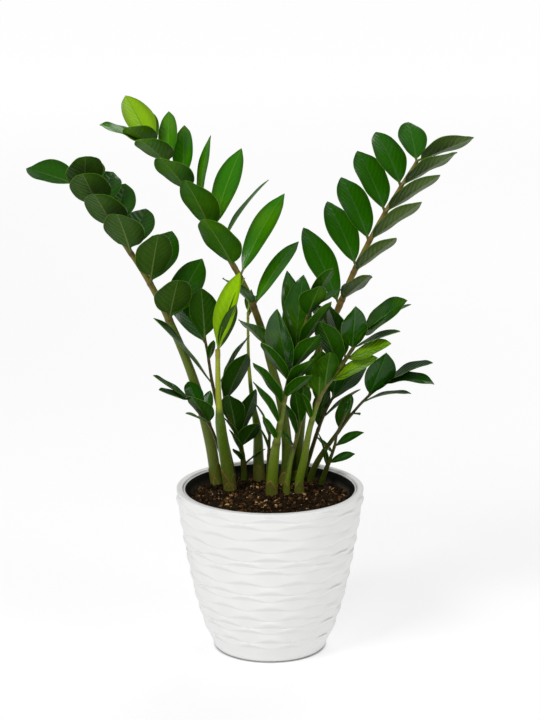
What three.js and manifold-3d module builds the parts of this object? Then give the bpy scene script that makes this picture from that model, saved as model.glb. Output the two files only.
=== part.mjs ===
// A potted ZZ plant: a white planter with wave relief, the black nursery pot inside it, potting mix,
// and fifteen leafy stems that stand in it. Millimetres, +Z up, the planter's foot on z = 0,
// the side with the low front shoots facing -Y.
import * as THREE from "three";
import Module from "manifold-3d";

const wasm = await Module();
wasm.setup();

const GAP = 0.3; // clearance kept between pieces that rest against each other

// ---- planter ----
const PLANTER_HEIGHT = 169;
const RIM_RADIUS = 95;
// outer radius at heights up the planter, without its relief: a full bowl that narrows to the foot
const PROFILE = [
  [0, 55.5], [5, 59], [15, 63], [32, 68.8], [57, 76], [84, 81.5], [118, 87.6], [150, 92.6], [166, 95],
];
const LIP_INNER_RADIUS = 88.6;
const WALL = 4.5;
const FLOOR_THICKNESS = 6; // the underside is a flat disc on z = 0
const FOOT_BEVEL = 1.2;
const LIP_DEPTH = 8; // the thick lip reaches this far down inside
const LIP_ROUNDING = 1.2;
const WAVES_ROUND = 10;
const WAVE_SWING = 2.5; // how far each wavy edge rises and falls
const EDGE_DEPTH = [0.9, 2]; // how far a band's lower edge stands out, at its troughs and crests
const UNDERCUT_HEIGHT = [0.8, 3.4]; // height of the hollow under that edge, at its troughs and crests
// heights of the bands' wavy lower edges, from the foot up, as moulded: unevenly spaced
const LEDGES = [20.5, 27, 38.5, 45, 54, 65, 76, 82.5, 93, 106, 113.5, 120, 130.5, 143, 155, 162.5];
const PLANTER_SIDES = 40; // four to a wave
const INSIDE_HEIGHTS = [118, 57, 15]; // where the inner wall turns
const FLATNESS = 0.04; // points closer than this to a plain face go

// ---- nursery pot and potting mix ----
const LINER_LIP_RADIUS = 88.2;
const LINER_RIM_Z = 166.5;
const LINER_TOP_RADIUS = 86.6;
const LINER_BASE_RADIUS = 54;
const LINER_WALL = 1.6;
const LINER_LIP_DEPTH = 4;
const LINER_SIDES = 32; // the mix inside has as many, so its faces lie along the pot's
const MIX_HEIGHT = 155; // level of the potting mix, below the rim
const MIX_BUMP = 1.6; // its surface rises and falls this much

// ---- stems and leaflets ----
const STEM_SIDES = 7;
const THIN_STEM_SIDES = 6;
const THICK_STEM = 5; // stems stouter than this radius at the foot have the fuller section
const HOLE_FLOOR_Z = 140; // stems reach this deep in the mix
const BLADE_THICKNESS = 0.8;
const STALK_EXTRA = 1; // the blade's stalk end is this much thicker
const LEAST_HALF_WIDTH = 0.7;
const SLIVER = 0.4; // edges closer than this, where leaflets meet, become one

// A mesh as a manifold solid.
function solid(positions, triangles) {
  return new wasm.Manifold(
    new wasm.Mesh({
      numProp: 3,
      vertProperties: new Float32Array(positions.flat()),
      triVerts: new Uint32Array(triangles.flat()),
    }),
  );
}

// A manifold solid as a three.js geometry.
function geometryOf(made) {
  const mesh = made.getMesh();
  const geometry = new THREE.BufferGeometry();
  const stride = mesh.numProp;
  const points = [];
  for (let i = 0; i < mesh.vertProperties.length; i += stride)
    points.push(mesh.vertProperties[i], mesh.vertProperties[i + 1], mesh.vertProperties[i + 2]);
  geometry.setAttribute("position", new THREE.Float32BufferAttribute(points, 3));
  geometry.setIndex(Array.from(mesh.triVerts));
  const flat = geometry.toNonIndexed();
  flat.computeVertexNormals();
  return flat;
}

// The side walls between closed rings of points, as triangles of point numbers.
function walls(rings) {
  const count = rings[0].length;
  const triangles = [];
  for (let r = 0; r + 1 < rings.length; r++)
    for (let i = 0; i < count; i++) {
      const a = r * count + i;
      const b = r * count + ((i + 1) % count);
      triangles.push([a, b, b + count], [a, b + count, a + count]);
    }
  return triangles;
}

// Joins closed rings of points into one closed body whose end faces start at the rings' first points.
function skin(rings) {
  const count = rings[0].length;
  const triangles = walls(rings);
  const last = (rings.length - 1) * count;
  for (let i = 1; i + 1 < count; i++) {
    triangles.push([0, i + 1, i]);
    triangles.push([last, last + i, last + i + 1]);
  }
  return solid(rings.flat(), triangles);
}

// The same with a point in the middle of each end face, so wide ends close evenly.
function fanned(rings, firstCentre, lastCentre) {
  const count = rings[0].length;
  const triangles = walls(rings);
  const last = (rings.length - 1) * count;
  const centre = rings.length * count;
  for (let i = 0; i < count; i++) {
    const j = (i + 1) % count;
    triangles.push([centre, j, i]);
    triangles.push([centre + 1, last + i, last + j]);
  }
  return solid([...rings.flat(), firstCentre, lastCentre], triangles);
}

// A repeatable pseudo-random value from -1 to 1 for a whole number.
function wobble(n) {
  const x = Math.sin(n * 12.9898 + 4.1) * 43758.5453;
  return 2 * (x - Math.floor(x)) - 1;
}

const mix = (a, b, t) => a + (b - a) * t;

// A value read along a short list of evenly spaced ones, t from 0 to 1.
function along(values, t) {
  if (!Array.isArray(values)) return values;
  if (values.length === 1) return values[0];
  const x = t * (values.length - 1);
  const i = Math.min(Math.floor(x), values.length - 2);
  return mix(values[i], values[i + 1], x - i);
}

// ---------------------------------------------------------------- planter
// Outer radius of the planter at a height, between the heights of its profile.
function planterRadius(z) {
  let i = 0;
  while (i < PROFILE.length - 2 && z > PROFILE[i + 1][0]) i++;
  const [[z0, r0], [z1, r1]] = [PROFILE[i], PROFILE[i + 1]];
  return mix(r0, r1, Math.min(Math.max((z - z0) / (z1 - z0), 0), 1));
}

function ringAt(radiusOf, heightOf, sides) {
  const ring = [];
  for (let i = 0; i < sides; i++) {
    const angle = (2 * Math.PI * i) / sides;
    const z = heightOf(angle);
    const r = radiusOf(angle, z);
    ring.push([r * Math.sin(angle), -r * Math.cos(angle), z]);
  }
  return ring;
}

// Where edge k is in its wave at an angle round the planter, from 0 in a trough to 1 on a crest. Each
// edge is half a wave off its neighbour.
function waveOf(k, angle) {
  const phase = (LEDGES.length - 1 - k) % 2 === 0 ? 0 : Math.PI;
  return (1 + Math.cos(WAVES_ROUND * angle + phase)) / 2;
}

function makePlanter() {
  const flat = (r, z) => ringAt(() => r, () => z, PLANTER_SIDES);
  const onProfile = (z, extra = 0) => flat(planterRadius(z) + extra, z);
  const rings = [flat(planterRadius(0) - FOOT_BEVEL, 0), onProfile(2 * FOOT_BEVEL)];
  for (let k = 0; k < LEDGES.length; k++) {
    const edgeZ = (a) => LEDGES[k] + WAVE_SWING * (2 * waveOf(k, a) - 1);
    const hollowZ = (a) => edgeZ(a) - mix(...UNDERCUT_HEIGHT, waveOf(k, a));
    const edgeRadius = (a, z) => planterRadius(z) + mix(...EDGE_DEPTH, waveOf(k, a));
    rings.push(ringAt((a, z) => planterRadius(z), hollowZ, PLANTER_SIDES));
    rings.push(ringAt(edgeRadius, edgeZ, PLANTER_SIDES));
  }
  rings.push(flat(RIM_RADIUS, PLANTER_HEIGHT - 2.5 * LIP_ROUNDING));
  rings.push(flat(RIM_RADIUS - 0.3 * LIP_ROUNDING, PLANTER_HEIGHT - 0.7 * LIP_ROUNDING));
  rings.push(flat(RIM_RADIUS - 1.3 * LIP_ROUNDING, PLANTER_HEIGHT));
  rings.push(flat(LIP_INNER_RADIUS + LIP_ROUNDING, PLANTER_HEIGHT));
  rings.push(flat(LIP_INNER_RADIUS, PLANTER_HEIGHT - LIP_ROUNDING));
  rings.push(flat(LIP_INNER_RADIUS, PLANTER_HEIGHT - LIP_DEPTH));
  for (const z of INSIDE_HEIGHTS) rings.push(flat(planterRadius(z) - WALL, z));
  rings.push(flat(planterRadius(FLOOR_THICKNESS) - WALL, FLOOR_THICKNESS));
  return fanned(rings, [0, 0, 0], [0, 0, FLOOR_THICKNESS]).simplify(FLATNESS);
}

// ------------------------------------------------------------ nursery pot
const LINER_FLOOR_Z = FLOOR_THICKNESS + GAP;

function linerRadius(z) {
  return mix(LINER_BASE_RADIUS, LINER_TOP_RADIUS, (z - LINER_FLOOR_Z) / (LINER_RIM_Z - LINER_FLOOR_Z));
}

function makeLiner() {
  const flat = (r, z) => ringAt(() => r, () => z, LINER_SIDES);
  const rings = [
    flat(LINER_BASE_RADIUS, LINER_FLOOR_Z),
    flat(linerRadius(LINER_RIM_Z - LINER_LIP_DEPTH), LINER_RIM_Z - LINER_LIP_DEPTH),
    flat(LINER_LIP_RADIUS, LINER_RIM_Z - 0.8 * LINER_LIP_DEPTH),
    flat(LINER_LIP_RADIUS, LINER_RIM_Z - 0.1 * LINER_LIP_DEPTH),
    flat(LINER_LIP_RADIUS - 0.3 * LINER_WALL, LINER_RIM_Z),
    flat(LINER_LIP_RADIUS - 1.6 * LINER_WALL, LINER_RIM_Z),
    flat(linerRadius(LINER_RIM_Z - LINER_LIP_DEPTH) - LINER_WALL, LINER_RIM_Z - LINER_LIP_DEPTH),
    flat(LINER_BASE_RADIUS - LINER_WALL, LINER_FLOOR_Z + LINER_WALL),
  ];
  return fanned(rings, [0, 0, LINER_FLOOR_Z], [0, 0, LINER_FLOOR_Z + LINER_WALL]);
}

// ------------------------------------------------------------ fronds
// Each frond: its stem's line from the mix upwards, the stem's radius at the foot and the tip, and
// rows of leaflets. A row says over which part of the stem it runs, how many leaflets it has, and,
// from its first to its last leaflet, where they point (heading clockwise from +Y in degrees, rise
// above the horizontal), how long and wide they are and how they roll about their midribs. A row may
// have its own fold and arch.
const FRONDS = {
  frond_tall_left: {
    stem: [[-55, 44, 158], [-57, 45, 172], [-61, 45, 199], [-69.5, 43, 238], [-81.5, 39, 281],
      [-102.5, 34, 335], [-122, 31, 375], [-142, 29, 408], [-173.5, 28, 452], [-197, 28, 477]],
    radius: [6, 5.8, 5.5, 5, 4.4, 4, 3.3, 2.9, 2.6, 2.3, 2],
    rows: [
      { at: [0.516, 0.636, 0.737, 0.812, 0.89, 0.951], count: 6,
        heading: [167, 166, 190, 197, 192, 174], rise: [46, 53, 42, 40, 40, 44],
        length: [72, 74, 76, 76, 72, 66], width: [38, 38, 41, 42, 41, 38], roll: [0, 0, -8, -10] },
      { at: [0.516, 0.636, 0.749, 0.825, 0.901, 0.961], count: 6, heading: [37, 23, 15, 11, 16, 15],
        rise: [45, 40, 30, 36, 29, 33], length: [77, 69, 65, 63, 57, 51], width: [34, 32],
        roll: [-30, -14, -14, -12] },
      { at: [0.99], count: 1, heading: [307], rise: [8], length: [66], width: 36, roll: 28, fold: 24 },
    ],
  },
  frond_tall_middle: {
    stem: [[15, 46, 158], [17, 45, 173], [17, 42, 206], [11, 34, 250], [0.5, 27, 292], [-11.5, 22, 337],
      [-30, 18, 382], [-61, 15, 435], [-94, 13, 490], [-125, 12, 523]],
    radius: [5.8, 5.4, 4.9, 4.4, 3.8, 3.4, 2.9, 2.5, 2.1, 1.9, 1.6],
    rows: [
      { at: [0.384, 0.497], count: 2, heading: [222, 229], rise: [40, 40], length: [54, 52], width: 30,
        arch: 0.05 },
      { at: [0.608, 0.717, 0.829, 0.915, 0.972], count: 5, heading: [209, 204, 201, 202, 200],
        rise: [45, 46, 33, 27, 26], length: [82, 82, 80, 72, 62], width: [41, 38, 36, 35, 32],
        roll: [-4, -4, -8, -10] },
      { at: [0.492, 0.577, 0.711], count: 3, heading: [37, 41, 27], rise: [36, 48, 50],
        length: [94, 102, 98], width: [21, 27, 26], roll: [-5, -12, -10], arch: 0.055 },
      { at: [0.849, 0.911], count: 2, heading: [359, 358], rise: [40, 38], length: [78, 72],
        width: [23, 21], roll: 20 },
      { at: [0.67, 0.773], count: 2, heading: [39, 12], rise: [37, 54], length: [94, 84],
        width: [18, 14], roll: 34, arch: 0.04 },
      { at: [0.968], count: 1, heading: [333], rise: [34], length: [78], width: 31, roll: 6 },
      { at: [0.968], count: 1, heading: [351], rise: [31], length: [60], width: 20 },
      { at: [0.981], count: 1, heading: [233], rise: [23], length: [62], width: 22, roll: 26 },
    ],
  },
  frond_tall_right: {
    stem: [[26, 58, 158], [28, 57, 171], [31, 48, 215], [36.5, 40, 259], [50, 35, 303], [69, 32, 347],
      [87, 32, 390], [115, 35, 444], [147, 40, 496]],
    radius: [5.6, 5.2, 4.6, 4.1, 3.6, 3.3, 3.1, 2.8, 2.4, 2, 1.6],
    rows: [
      { at: [0.546, 0.665, 0.743, 0.834, 0.917, 0.997], count: 6,
        heading: [327, 331, 331, 329, 332, 351], rise: [47, 45, 46, 47, 44, 39],
        length: [96, 82, 80, 76, 70, 54], width: [32, 33, 34, 34, 34, 30], roll: [8, 6, 4, 2, 0, -4],
        arch: 0.04 },
      { at: [0.565, 0.65, 0.748, 0.837, 0.922, 1], count: 6, heading: [156, 136, 126, 124, 124, 120],
        rise: [31, 37, 37, 35, 32, 25], length: [74, 72, 76, 76, 74, 68],
        width: [25, 29, 32, 33, 34, 34], roll: [2, 8, 16, 18, 16, 22], arch: 0.01 },
      { at: [0.47], count: 1, heading: [204], rise: [50], length: [42], width: 24 },
      { at: [0.445], count: 1, heading: [85], rise: [40], length: [15], width: 9, roll: -50 },
    ],
  },
  shoot_furled: {
    stem: [[-41, 27, 158], [-42, 25, 168], [-46, 17, 198], [-50, 6, 232], [-52, -4, 271],
      [-52, -14, 315]],
    radius: [6.3, 6.2, 6.2, 6, 5.6, 5.1, 3.3, 3, 2.7, 2.5, 2.3],
    rows: [
      { at: [1], count: 1, heading: [88], rise: [74], length: [82], width: 27, roll: -66, fold: 34,
        arch: 0.07 },
      { at: [0.96], count: 1, heading: [88], rise: [71], length: [84], width: 20, roll: -25, fold: 34,
        arch: 0.07 },
      { at: [0.987], count: 1, heading: [136], rise: [63], length: [60], width: 15, roll: 30 },
    ],
  },
  shoot_thin_back: {
    stem: [[-11, 61, 158], [-12, 63, 179], [-13, 63, 211], [-18.5, 62, 244], [-22, 58, 287],
      [-22.5, 52, 338]],
    radius: [6.2, 5.8, 5.2, 4.4, 3.1, 2.3, 2, 1.7, 1.5, 1.4, 1.3],
    rows: [
      { at: [0.97, 1], count: 2, heading: [60, 25], rise: [62, 70], length: [26, 24], width: 10 },
    ],
  },
  frond_front_centre: {
    stem: [[2, 10, 158], [2, 8, 171], [5.5, 2, 207], [11, -3, 240], [16.5, -8, 272], [26, -12, 307],
      [35.5, -17, 344], [41.5, -21, 366]],
    radius: [5.7, 5.5, 4.8, 3.5, 2.9, 2.6, 2.6, 2.5, 2.1, 1.7, 1.4],
    rows: [
      { at: [0.27, 0.36, 0.46, 0.585], count: 4, heading: [238, 235, 232, 221], rise: [61, 57, 53, 49],
        length: [34, 60, 64, 64], width: [16, 22, 26, 22] },
      { at: [0.5, 0.54], count: 2, heading: [134, 132], rise: [40, 47], length: [48, 54], width: 24,
        roll: 15 },
      { at: [0.61], count: 1, heading: [222], rise: [75], length: [76], width: 37 },
      { at: [0.686], count: 1, heading: [27], rise: [77], length: [88], width: 33 },
      { at: [0.738], count: 1, heading: [343], rise: [65], length: [84], width: 23 },
      { at: [0.749], count: 1, heading: [126], rise: [54], length: [68], width: 24, roll: 12 },
      { at: [0.647], count: 1, heading: [142], rise: [46], length: [62], width: 24, roll: 12 },
      { at: [0.92], count: 1, heading: [163], rise: [46], length: [54], width: 28 },
      { at: [0.975], count: 1, heading: [145], rise: [51], length: [58], width: 20 },
      { at: [0.96], count: 1, heading: [60], rise: [24], length: [40], width: 14 },
    ],
  },
  shoot_short_centre: {
    stem: [[17, 12, 158], [17.5, 12, 172], [22, 14, 196], [29, 20, 221], [34, 25, 240]],
    radius: [3.6, 3.3, 2.7, 2.2, 1.7, 1.3, 1.1],
    rows: [
      { at: [0.7, 0.98], count: 3, heading: [242, 205, 180], rise: [68, 72, 80], length: [42, 42, 34],
        width: 18 },
      { at: [0.58], count: 1, heading: [280], rise: [44], length: [24], width: 11 },
    ],
  },
  frond_right_centre: {
    stem: [[30, 16, 158], [30, 14, 171], [34.5, 10, 194], [41, 4, 232], [52, 0, 267], [69, -2, 292],
      [84, -4, 316], [97, -4, 336]],
    radius: [4.7, 4.3, 3.7, 3.2, 2.9, 2.6, 2.5, 2.3, 2, 1.7, 1.4],
    rows: [
      { at: [0.41], count: 1, heading: [224], rise: [66], length: [36], width: 12 },
      { at: [0.539, 0.607], count: 2, heading: [177, 172], rise: [67, 54], length: [62, 56],
        width: [29, 24] },
      { at: [0.74, 0.797], count: 2, heading: [215, 238], rise: [57, 70], length: [66, 64], width: 29,
        roll: -8 },
      { at: [0.859], count: 1, heading: [176], rise: [59], length: [60], width: 27 },
      { at: [0.651, 0.797], count: 2, heading: [118, 127], rise: [30, 24], length: [62, 60], width: 26,
        roll: [-30, -32], arch: 0 },
      { at: [0.871], count: 1, heading: [125], rise: [24], length: [60], width: 20, roll: -14 },
      { at: [0.944, 0.963], count: 2, heading: [127, 117], rise: [39, 34], length: [70, 62],
        width: [33, 20], roll: [-46, -10], arch: 0.03 },
    ],
  },
  frond_low_right: {
    stem: [[42, 56, 158], [44, 54, 167], [51, 49, 184], [66, 41, 209], [84, 34, 236], [100, 28, 256],
      [116, 24, 270]],
    radius: [3.6, 3.4, 3, 2.5, 2.2, 1.9, 1.6, 1.4, 1.3, 1.2, 1.1],
    rows: [
      { at: [0.28], count: 1, heading: [261], rise: [72], length: [20], width: 8 },
      { at: [0.48], count: 1, heading: [90], rise: [72], length: [42], width: 20, roll: 58 },
      { at: [0.66], count: 1, heading: [152], rise: [9], length: [16], width: 7 },
      { at: [0.847], count: 1, heading: [150], rise: [58], length: [62], width: 32, roll: 15 },
      { at: [0.774], count: 1, heading: [119], rise: [17], length: [58], width: 15, arch: 0.07 },
      { at: [0.955], count: 1, heading: [122], rise: [11], length: [64], width: 27, roll: -14,
        arch: 0.12 },
      { at: [0.978], count: 1, heading: [108], rise: [28], length: [60], width: 32, roll: -8,
        arch: 0.05 },
    ],
  },
  shoot_right: {
    stem: [[53, 45, 158], [55, 42, 166], [60, 36, 182], [66, 30, 202], [69, 26, 219], [77, 22, 239]],
    radius: [3.2, 2.6, 2, 1.6, 1.3, 1.1, 1],
    rows: [
      { at: [0.31], count: 1, heading: [102], rise: [23], length: [30], width: 11, roll: -35,
        arch: 0.05 },
      { at: [0.549], count: 1, heading: [108], rise: [30], length: [36], width: 12, roll: -35,
        arch: 0.06 },
      { at: [0.25], count: 1, heading: [220], rise: [78], length: [22], width: 7 },
      { at: [0.98], count: 1, heading: [40], rise: [62], length: [18], width: 6 },
    ],
  },
  shoot_front_left: {
    stem: [[-40, 41, 158], [-44, 38, 172], [-52, 28, 200], [-60, 17, 226], [-70, 9, 245],
      [-81, 4, 261]],
    radius: [2, 1.8, 1.5, 1.3],
    rows: [
      { at: [0.68, 0.7], count: 2, heading: [213, 236], rise: [50, 27], length: [46, 30],
        width: [30, 16] },
      { at: [0.975, 1], count: 2, heading: [235, 252], rise: [23, 35], length: [42, 46], width: 21,
        roll: 12, arch: -0.03 },
      { at: [0.86, 0.76], count: 2, heading: [338, 28], rise: [34, 66], length: [38, 28],
        width: [20, 14] },
    ],
  },
  shoot_dark_left: {
    stem: [[-38, 58, 158], [-39, 56, 170], [-48, 46, 216], [-58, 34, 264], [-63, 27, 300],
      [-66, 22, 319]],
    radius: [2.8, 2.5, 2.1, 1.8, 1.5, 1.3],
    rows: [
      { at: [0.985], count: 1, heading: [190], rise: [73], length: [60], width: 32 },
      { at: [0.955], count: 1, heading: [316], rise: [38], length: [66], width: 32, roll: 10 },
      { at: [0.681], count: 1, heading: [247], rise: [50], length: [98], width: 30, roll: 14 },
      { at: [0.84], count: 1, heading: [150], rise: [66], length: [26], width: 10 },
    ],
  },
  shoot_centre_left: {
    stem: [[-27, 58, 158], [-27, 56, 171], [-30, 50, 196], [-35, 44, 216], [-44, 36, 239],
      [-49, 30, 273]],
    radius: [3.2, 2.6, 2, 1.6, 1.3],
    rows: [
      { at: [0.793, 1], count: 2, heading: [126, 112], rise: [63, 58], length: [62, 58],
        width: [32, 20], roll: [15, 0] },
      { at: [0.5], count: 1, heading: [192], rise: [56], length: [54], width: 26 },
      { at: [0.4, 0.32], count: 2, heading: [122, 141], rise: [70, 49], length: [60, 42],
        width: [27, 22], roll: 15 },
      { at: [0.145, 0.165], count: 2, heading: [105, 223], rise: [39, 50], length: [30, 24],
        width: [10, 12] },
      { at: [0.37, 0.24], count: 2, heading: [245, 236], rise: [58, 62], length: [34, 34],
        width: [16, 14] },
    ],
  },
  shoot_small_centre: {
    stem: [[-2, 38, 158], [-2, 37, 176], [-1, 34, 200], [0, 30, 224]],
    radius: [2.4, 2, 1.5, 1.2],
    rows: [
      { at: [0.97, 0.6], count: 2, heading: [262, 250], rise: [60, 68], length: [32, 26], width: 9 },
      { at: [0.8, 0.5], count: 2, heading: [225, 110], rise: [70, 60], length: [28, 24], width: 9 },
    ],
  },
  shoot_dark_right: {
    stem: [[36, 65, 158], [37, 66, 167], [42, 66, 184], [50, 63, 211], [57, 60, 231], [65, 58, 247]],
    radius: [3, 2.6, 2.2, 1.9, 1.6, 1.3],
    rows: [
      { at: [0.585], count: 1, heading: [125], rise: [78], length: [54], width: 22, roll: 20 },
      { at: [0.73], count: 1, heading: [112], rise: [40], length: [54], width: 18, roll: -12 },
      { at: [0.94, 1], count: 2, heading: [50, 20], rise: [33, 58], length: [60, 44], width: [30, 24] },
      { at: [0.8], count: 1, heading: [330], rise: [62], length: [44], width: 20 },
      { at: [0.5], count: 1, heading: [125], rise: [-35], length: [26], width: 7 },
    ],
  },
};

const vec = (p) => new THREE.Vector3(p[0], p[1], p[2]);
const UP = new THREE.Vector3(0, 0, 1);

// A smooth line through the points, with the place and direction at any fraction of its length.
function smoothLine(points) {
  const steps = 10; // between one point and the next
  const places = [];
  const at = (i) => vec(points[Math.min(Math.max(i, 0), points.length - 1)]);
  for (let i = 0; i + 1 < points.length; i++)
    for (let s = 0; s < steps; s++) {
      const t = s / steps;
      const [a, b, c, d] = [at(i - 1), at(i), at(i + 1), at(i + 2)];
      const place = new THREE.Vector3();
      place.addScaledVector(a, -0.5 * t + t * t - 0.5 * t * t * t);
      place.addScaledVector(b, 1 - 2.5 * t * t + 1.5 * t * t * t);
      place.addScaledVector(c, 0.5 * t + 2 * t * t - 1.5 * t * t * t);
      place.addScaledVector(d, -0.5 * t * t + 0.5 * t * t * t);
      places.push(place);
    }
  places.push(at(points.length - 1));
  const reach = [0];
  for (let i = 1; i < places.length; i++) reach.push(reach[i - 1] + places[i].distanceTo(places[i - 1]));
  const length = reach[reach.length - 1];
  return (u) => {
    const goal = Math.min(Math.max(u, 0), 1) * length;
    let i = 1;
    while (i < places.length - 1 && reach[i] < goal) i++;
    const t = (goal - reach[i - 1]) / (reach[i] - reach[i - 1]);
    return {
      place: places[i - 1].clone().lerp(places[i], t),
      direction: places[i].clone().sub(places[i - 1]).normalize(),
    };
  };
}

const sidesOf = (frond) => (frond.radius[0] > THICK_STEM ? STEM_SIDES : THIN_STEM_SIDES);

// The stem as one body: straight down in its hole, then along its line, closed at both ends.
function makeStem(frond, line) {
  const rings = [];
  const [x, y] = frond.stem[0];
  const count = frond.stem.length;
  const sides = sidesOf(frond);
  const ring = (centre, direction, radius) => {
    const across = new THREE.Vector3(1, 0, 0);
    across.addScaledVector(direction, -across.dot(direction)).normalize();
    const other = direction.clone().cross(across);
    const points = [];
    for (let i = 0; i < sides; i++) {
      const a = (2 * Math.PI * i) / sides;
      const p = centre.clone();
      p.addScaledVector(across, radius * Math.cos(a)).addScaledVector(other, radius * Math.sin(a));
      points.push(p.toArray());
    }
    return points;
  };
  rings.push(ring(vec([x, y, HOLE_FLOOR_Z + GAP]), UP, frond.radius[0]));
  for (let i = 0; i <= count; i++) {
    const u = i / count;
    const { place, direction } = line(u);
    rings.push(ring(place, i === 0 ? UP : direction, along(frond.radius, u)));
  }
  return skin(rings);
}

// Half width of a leaflet along its length, as parts of its full half width: a short stalk, a wedge
// base, the full middle and a drawn-out tip.
const OUTLINE = [[0, 0.08], [0.1, 0.1], [0.24, 0.76], [0.5, 1], [0.8, 0.72], [1, 0.04]];
const SMALL_OUTLINE = [[0, 0.12], [0.12, 0.16], [0.45, 1], [0.8, 0.7], [1, 0.05]];
const SMALL_LEAFLET = 62; // leaflets up to this length have the plainer outline
const ARCH = 0.02; // how far the midrib bows up, as a part of the leaflet's length
const FOLD = 12; // degrees each half of the blade rises from the midrib

// One leaflet: a thin closed blade with a folded cross-section that grows out of the stem.
function makeLeaflet(root, heading, rise, roll, length, width, foldAngle, arch) {
  const h = THREE.MathUtils.degToRad(heading);
  const e = THREE.MathUtils.degToRad(rise);
  const out = new THREE.Vector3(Math.sin(h) * Math.cos(e), Math.cos(h) * Math.cos(e), Math.sin(e));
  const turn = THREE.MathUtils.degToRad(roll);
  const side = new THREE.Vector3().crossVectors(out, UP).normalize().applyAxisAngle(out, -turn);
  const face = new THREE.Vector3().crossVectors(side, out).normalize();
  const fold = THREE.MathUtils.degToRad(foldAngle);
  const rings = (length > SMALL_LEAFLET ? OUTLINE : SMALL_OUTLINE).map(([t, part]) => {
    const spine = root.clone().addScaledVector(out, t * length);
    spine.addScaledVector(face, arch * length * 4 * t * (1 - t));
    const half = Math.max((part * width) / 2, LEAST_HALF_WIDTH);
    const thick = (BLADE_THICKNESS + (t === 0 ? STALK_EXTRA : 0)) / 2;
    const edge = (sign) =>
      spine
        .clone()
        .addScaledVector(side, sign * half * Math.cos(fold))
        .addScaledVector(face, half * Math.sin(fold));
    const lift = (p, sign) => p.clone().addScaledVector(face, sign * thick).toArray();
    return [
      lift(edge(1), -1), lift(spine, -1), lift(edge(-1), -1),
      lift(edge(-1), 1), lift(spine, 1), lift(edge(1), 1),
    ];
  });
  return skin(rings);
}

// The body with any pocket closed in between leaflet stalks filled up.
function filled(body) {
  const shells = body.decompose();
  return shells.reduce((best, shell) => (shell.volume() > best.volume() ? shell : best));
}

function makeFrond(frond) {
  const line = smoothLine(frond.stem);
  let body = makeStem(frond, line);
  for (const row of frond.rows)
    for (let i = 0; i < row.count; i++) {
      const t = row.count > 1 ? i / (row.count - 1) : 0;
      const { place } = line(along(row.at, t));
      const leaflet = makeLeaflet(
        place,
        along(row.heading, t),
        along(row.rise, t),
        along(row.roll ?? 0, t),
        along(row.length, t),
        along(row.width, t),
        row.fold ?? FOLD,
        row.arch ?? ARCH,
      );
      body = body.add(leaflet);
    }
  return filled(body.simplify(SLIVER));
}

// ------------------------------------------------------------ potting mix
const MIX_RING_PARTS = [1, 0.86, 0.7, 0.54, 0.38, 0.2]; // rings of its surface, as parts of its radius
const HOLE_CLEARANCE = 0.36; // between a stem and its hole
const MIX_FOOT_Z = LINER_FLOOR_Z + LINER_WALL + GAP;

function makeMix() {
  const rings = [];
  const inside = (z) => linerRadius(z) - LINER_WALL - GAP;
  rings.push(ringAt(() => LINER_BASE_RADIUS - LINER_WALL - GAP, () => MIX_FOOT_Z, LINER_SIDES));
  rings.push(ringAt((a, z) => inside(z), () => MIX_HEIGHT - MIX_BUMP, LINER_SIDES));
  MIX_RING_PARTS.forEach((part, k) => {
    rings.push(
      ringAt(
        () => part * (inside(MIX_HEIGHT) - GAP),
        (a) => {
          const n = Math.round((a * LINER_SIDES) / (2 * Math.PI));
          return MIX_HEIGHT + (k === 0 ? 0 : MIX_BUMP * wobble(k * 97 + n));
        },
        LINER_SIDES,
      ),
    );
  });
  let body = fanned(rings, [0, 0, MIX_FOOT_Z], [0, 0, MIX_HEIGHT]);
  for (const frond of Object.values(FRONDS)) {
    const [x, y] = frond.stem[0];
    const r = frond.radius[0] + HOLE_CLEARANCE;
    const sides = sidesOf(frond);
    const ring = (z) => {
      const points = [];
      for (let i = 0; i < sides; i++) {
        const a = (2 * Math.PI * i) / sides;
        points.push([x + r * Math.cos(a), y + r * Math.sin(a), z]);
      }
      return points;
    };
    body = body.subtract(skin([ring(HOLE_FLOOR_Z), ring(PLANTER_HEIGHT)]));
  }
  return body;
}

// ------------------------------------------------------------ assembly
const plant = new THREE.Group();
plant.name = "potted_zz_plant";

function addPiece(name, made, colour, roughness) {
  const material = new THREE.MeshStandardMaterial({ color: colour, roughness, metalness: 0 });
  const mesh = new THREE.Mesh(geometryOf(made), material);
  mesh.name = name;
  plant.add(mesh);
}

addPiece("planter", makePlanter(), 0xe6e6e4, 0.6);
addPiece("nursery_pot", makeLiner(), 0x2b2c2d, 0.5);
addPiece("potting_mix", makeMix(), 0x2b1d14, 0.95);
for (const [name, frond] of Object.entries(FRONDS)) addPiece(name, makeFrond(frond), 0x2c5a1c, 0.35);

export default plant;
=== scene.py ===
import math
import random
import bpy
import numpy as np
from mathutils import Matrix, Vector, noise


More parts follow.
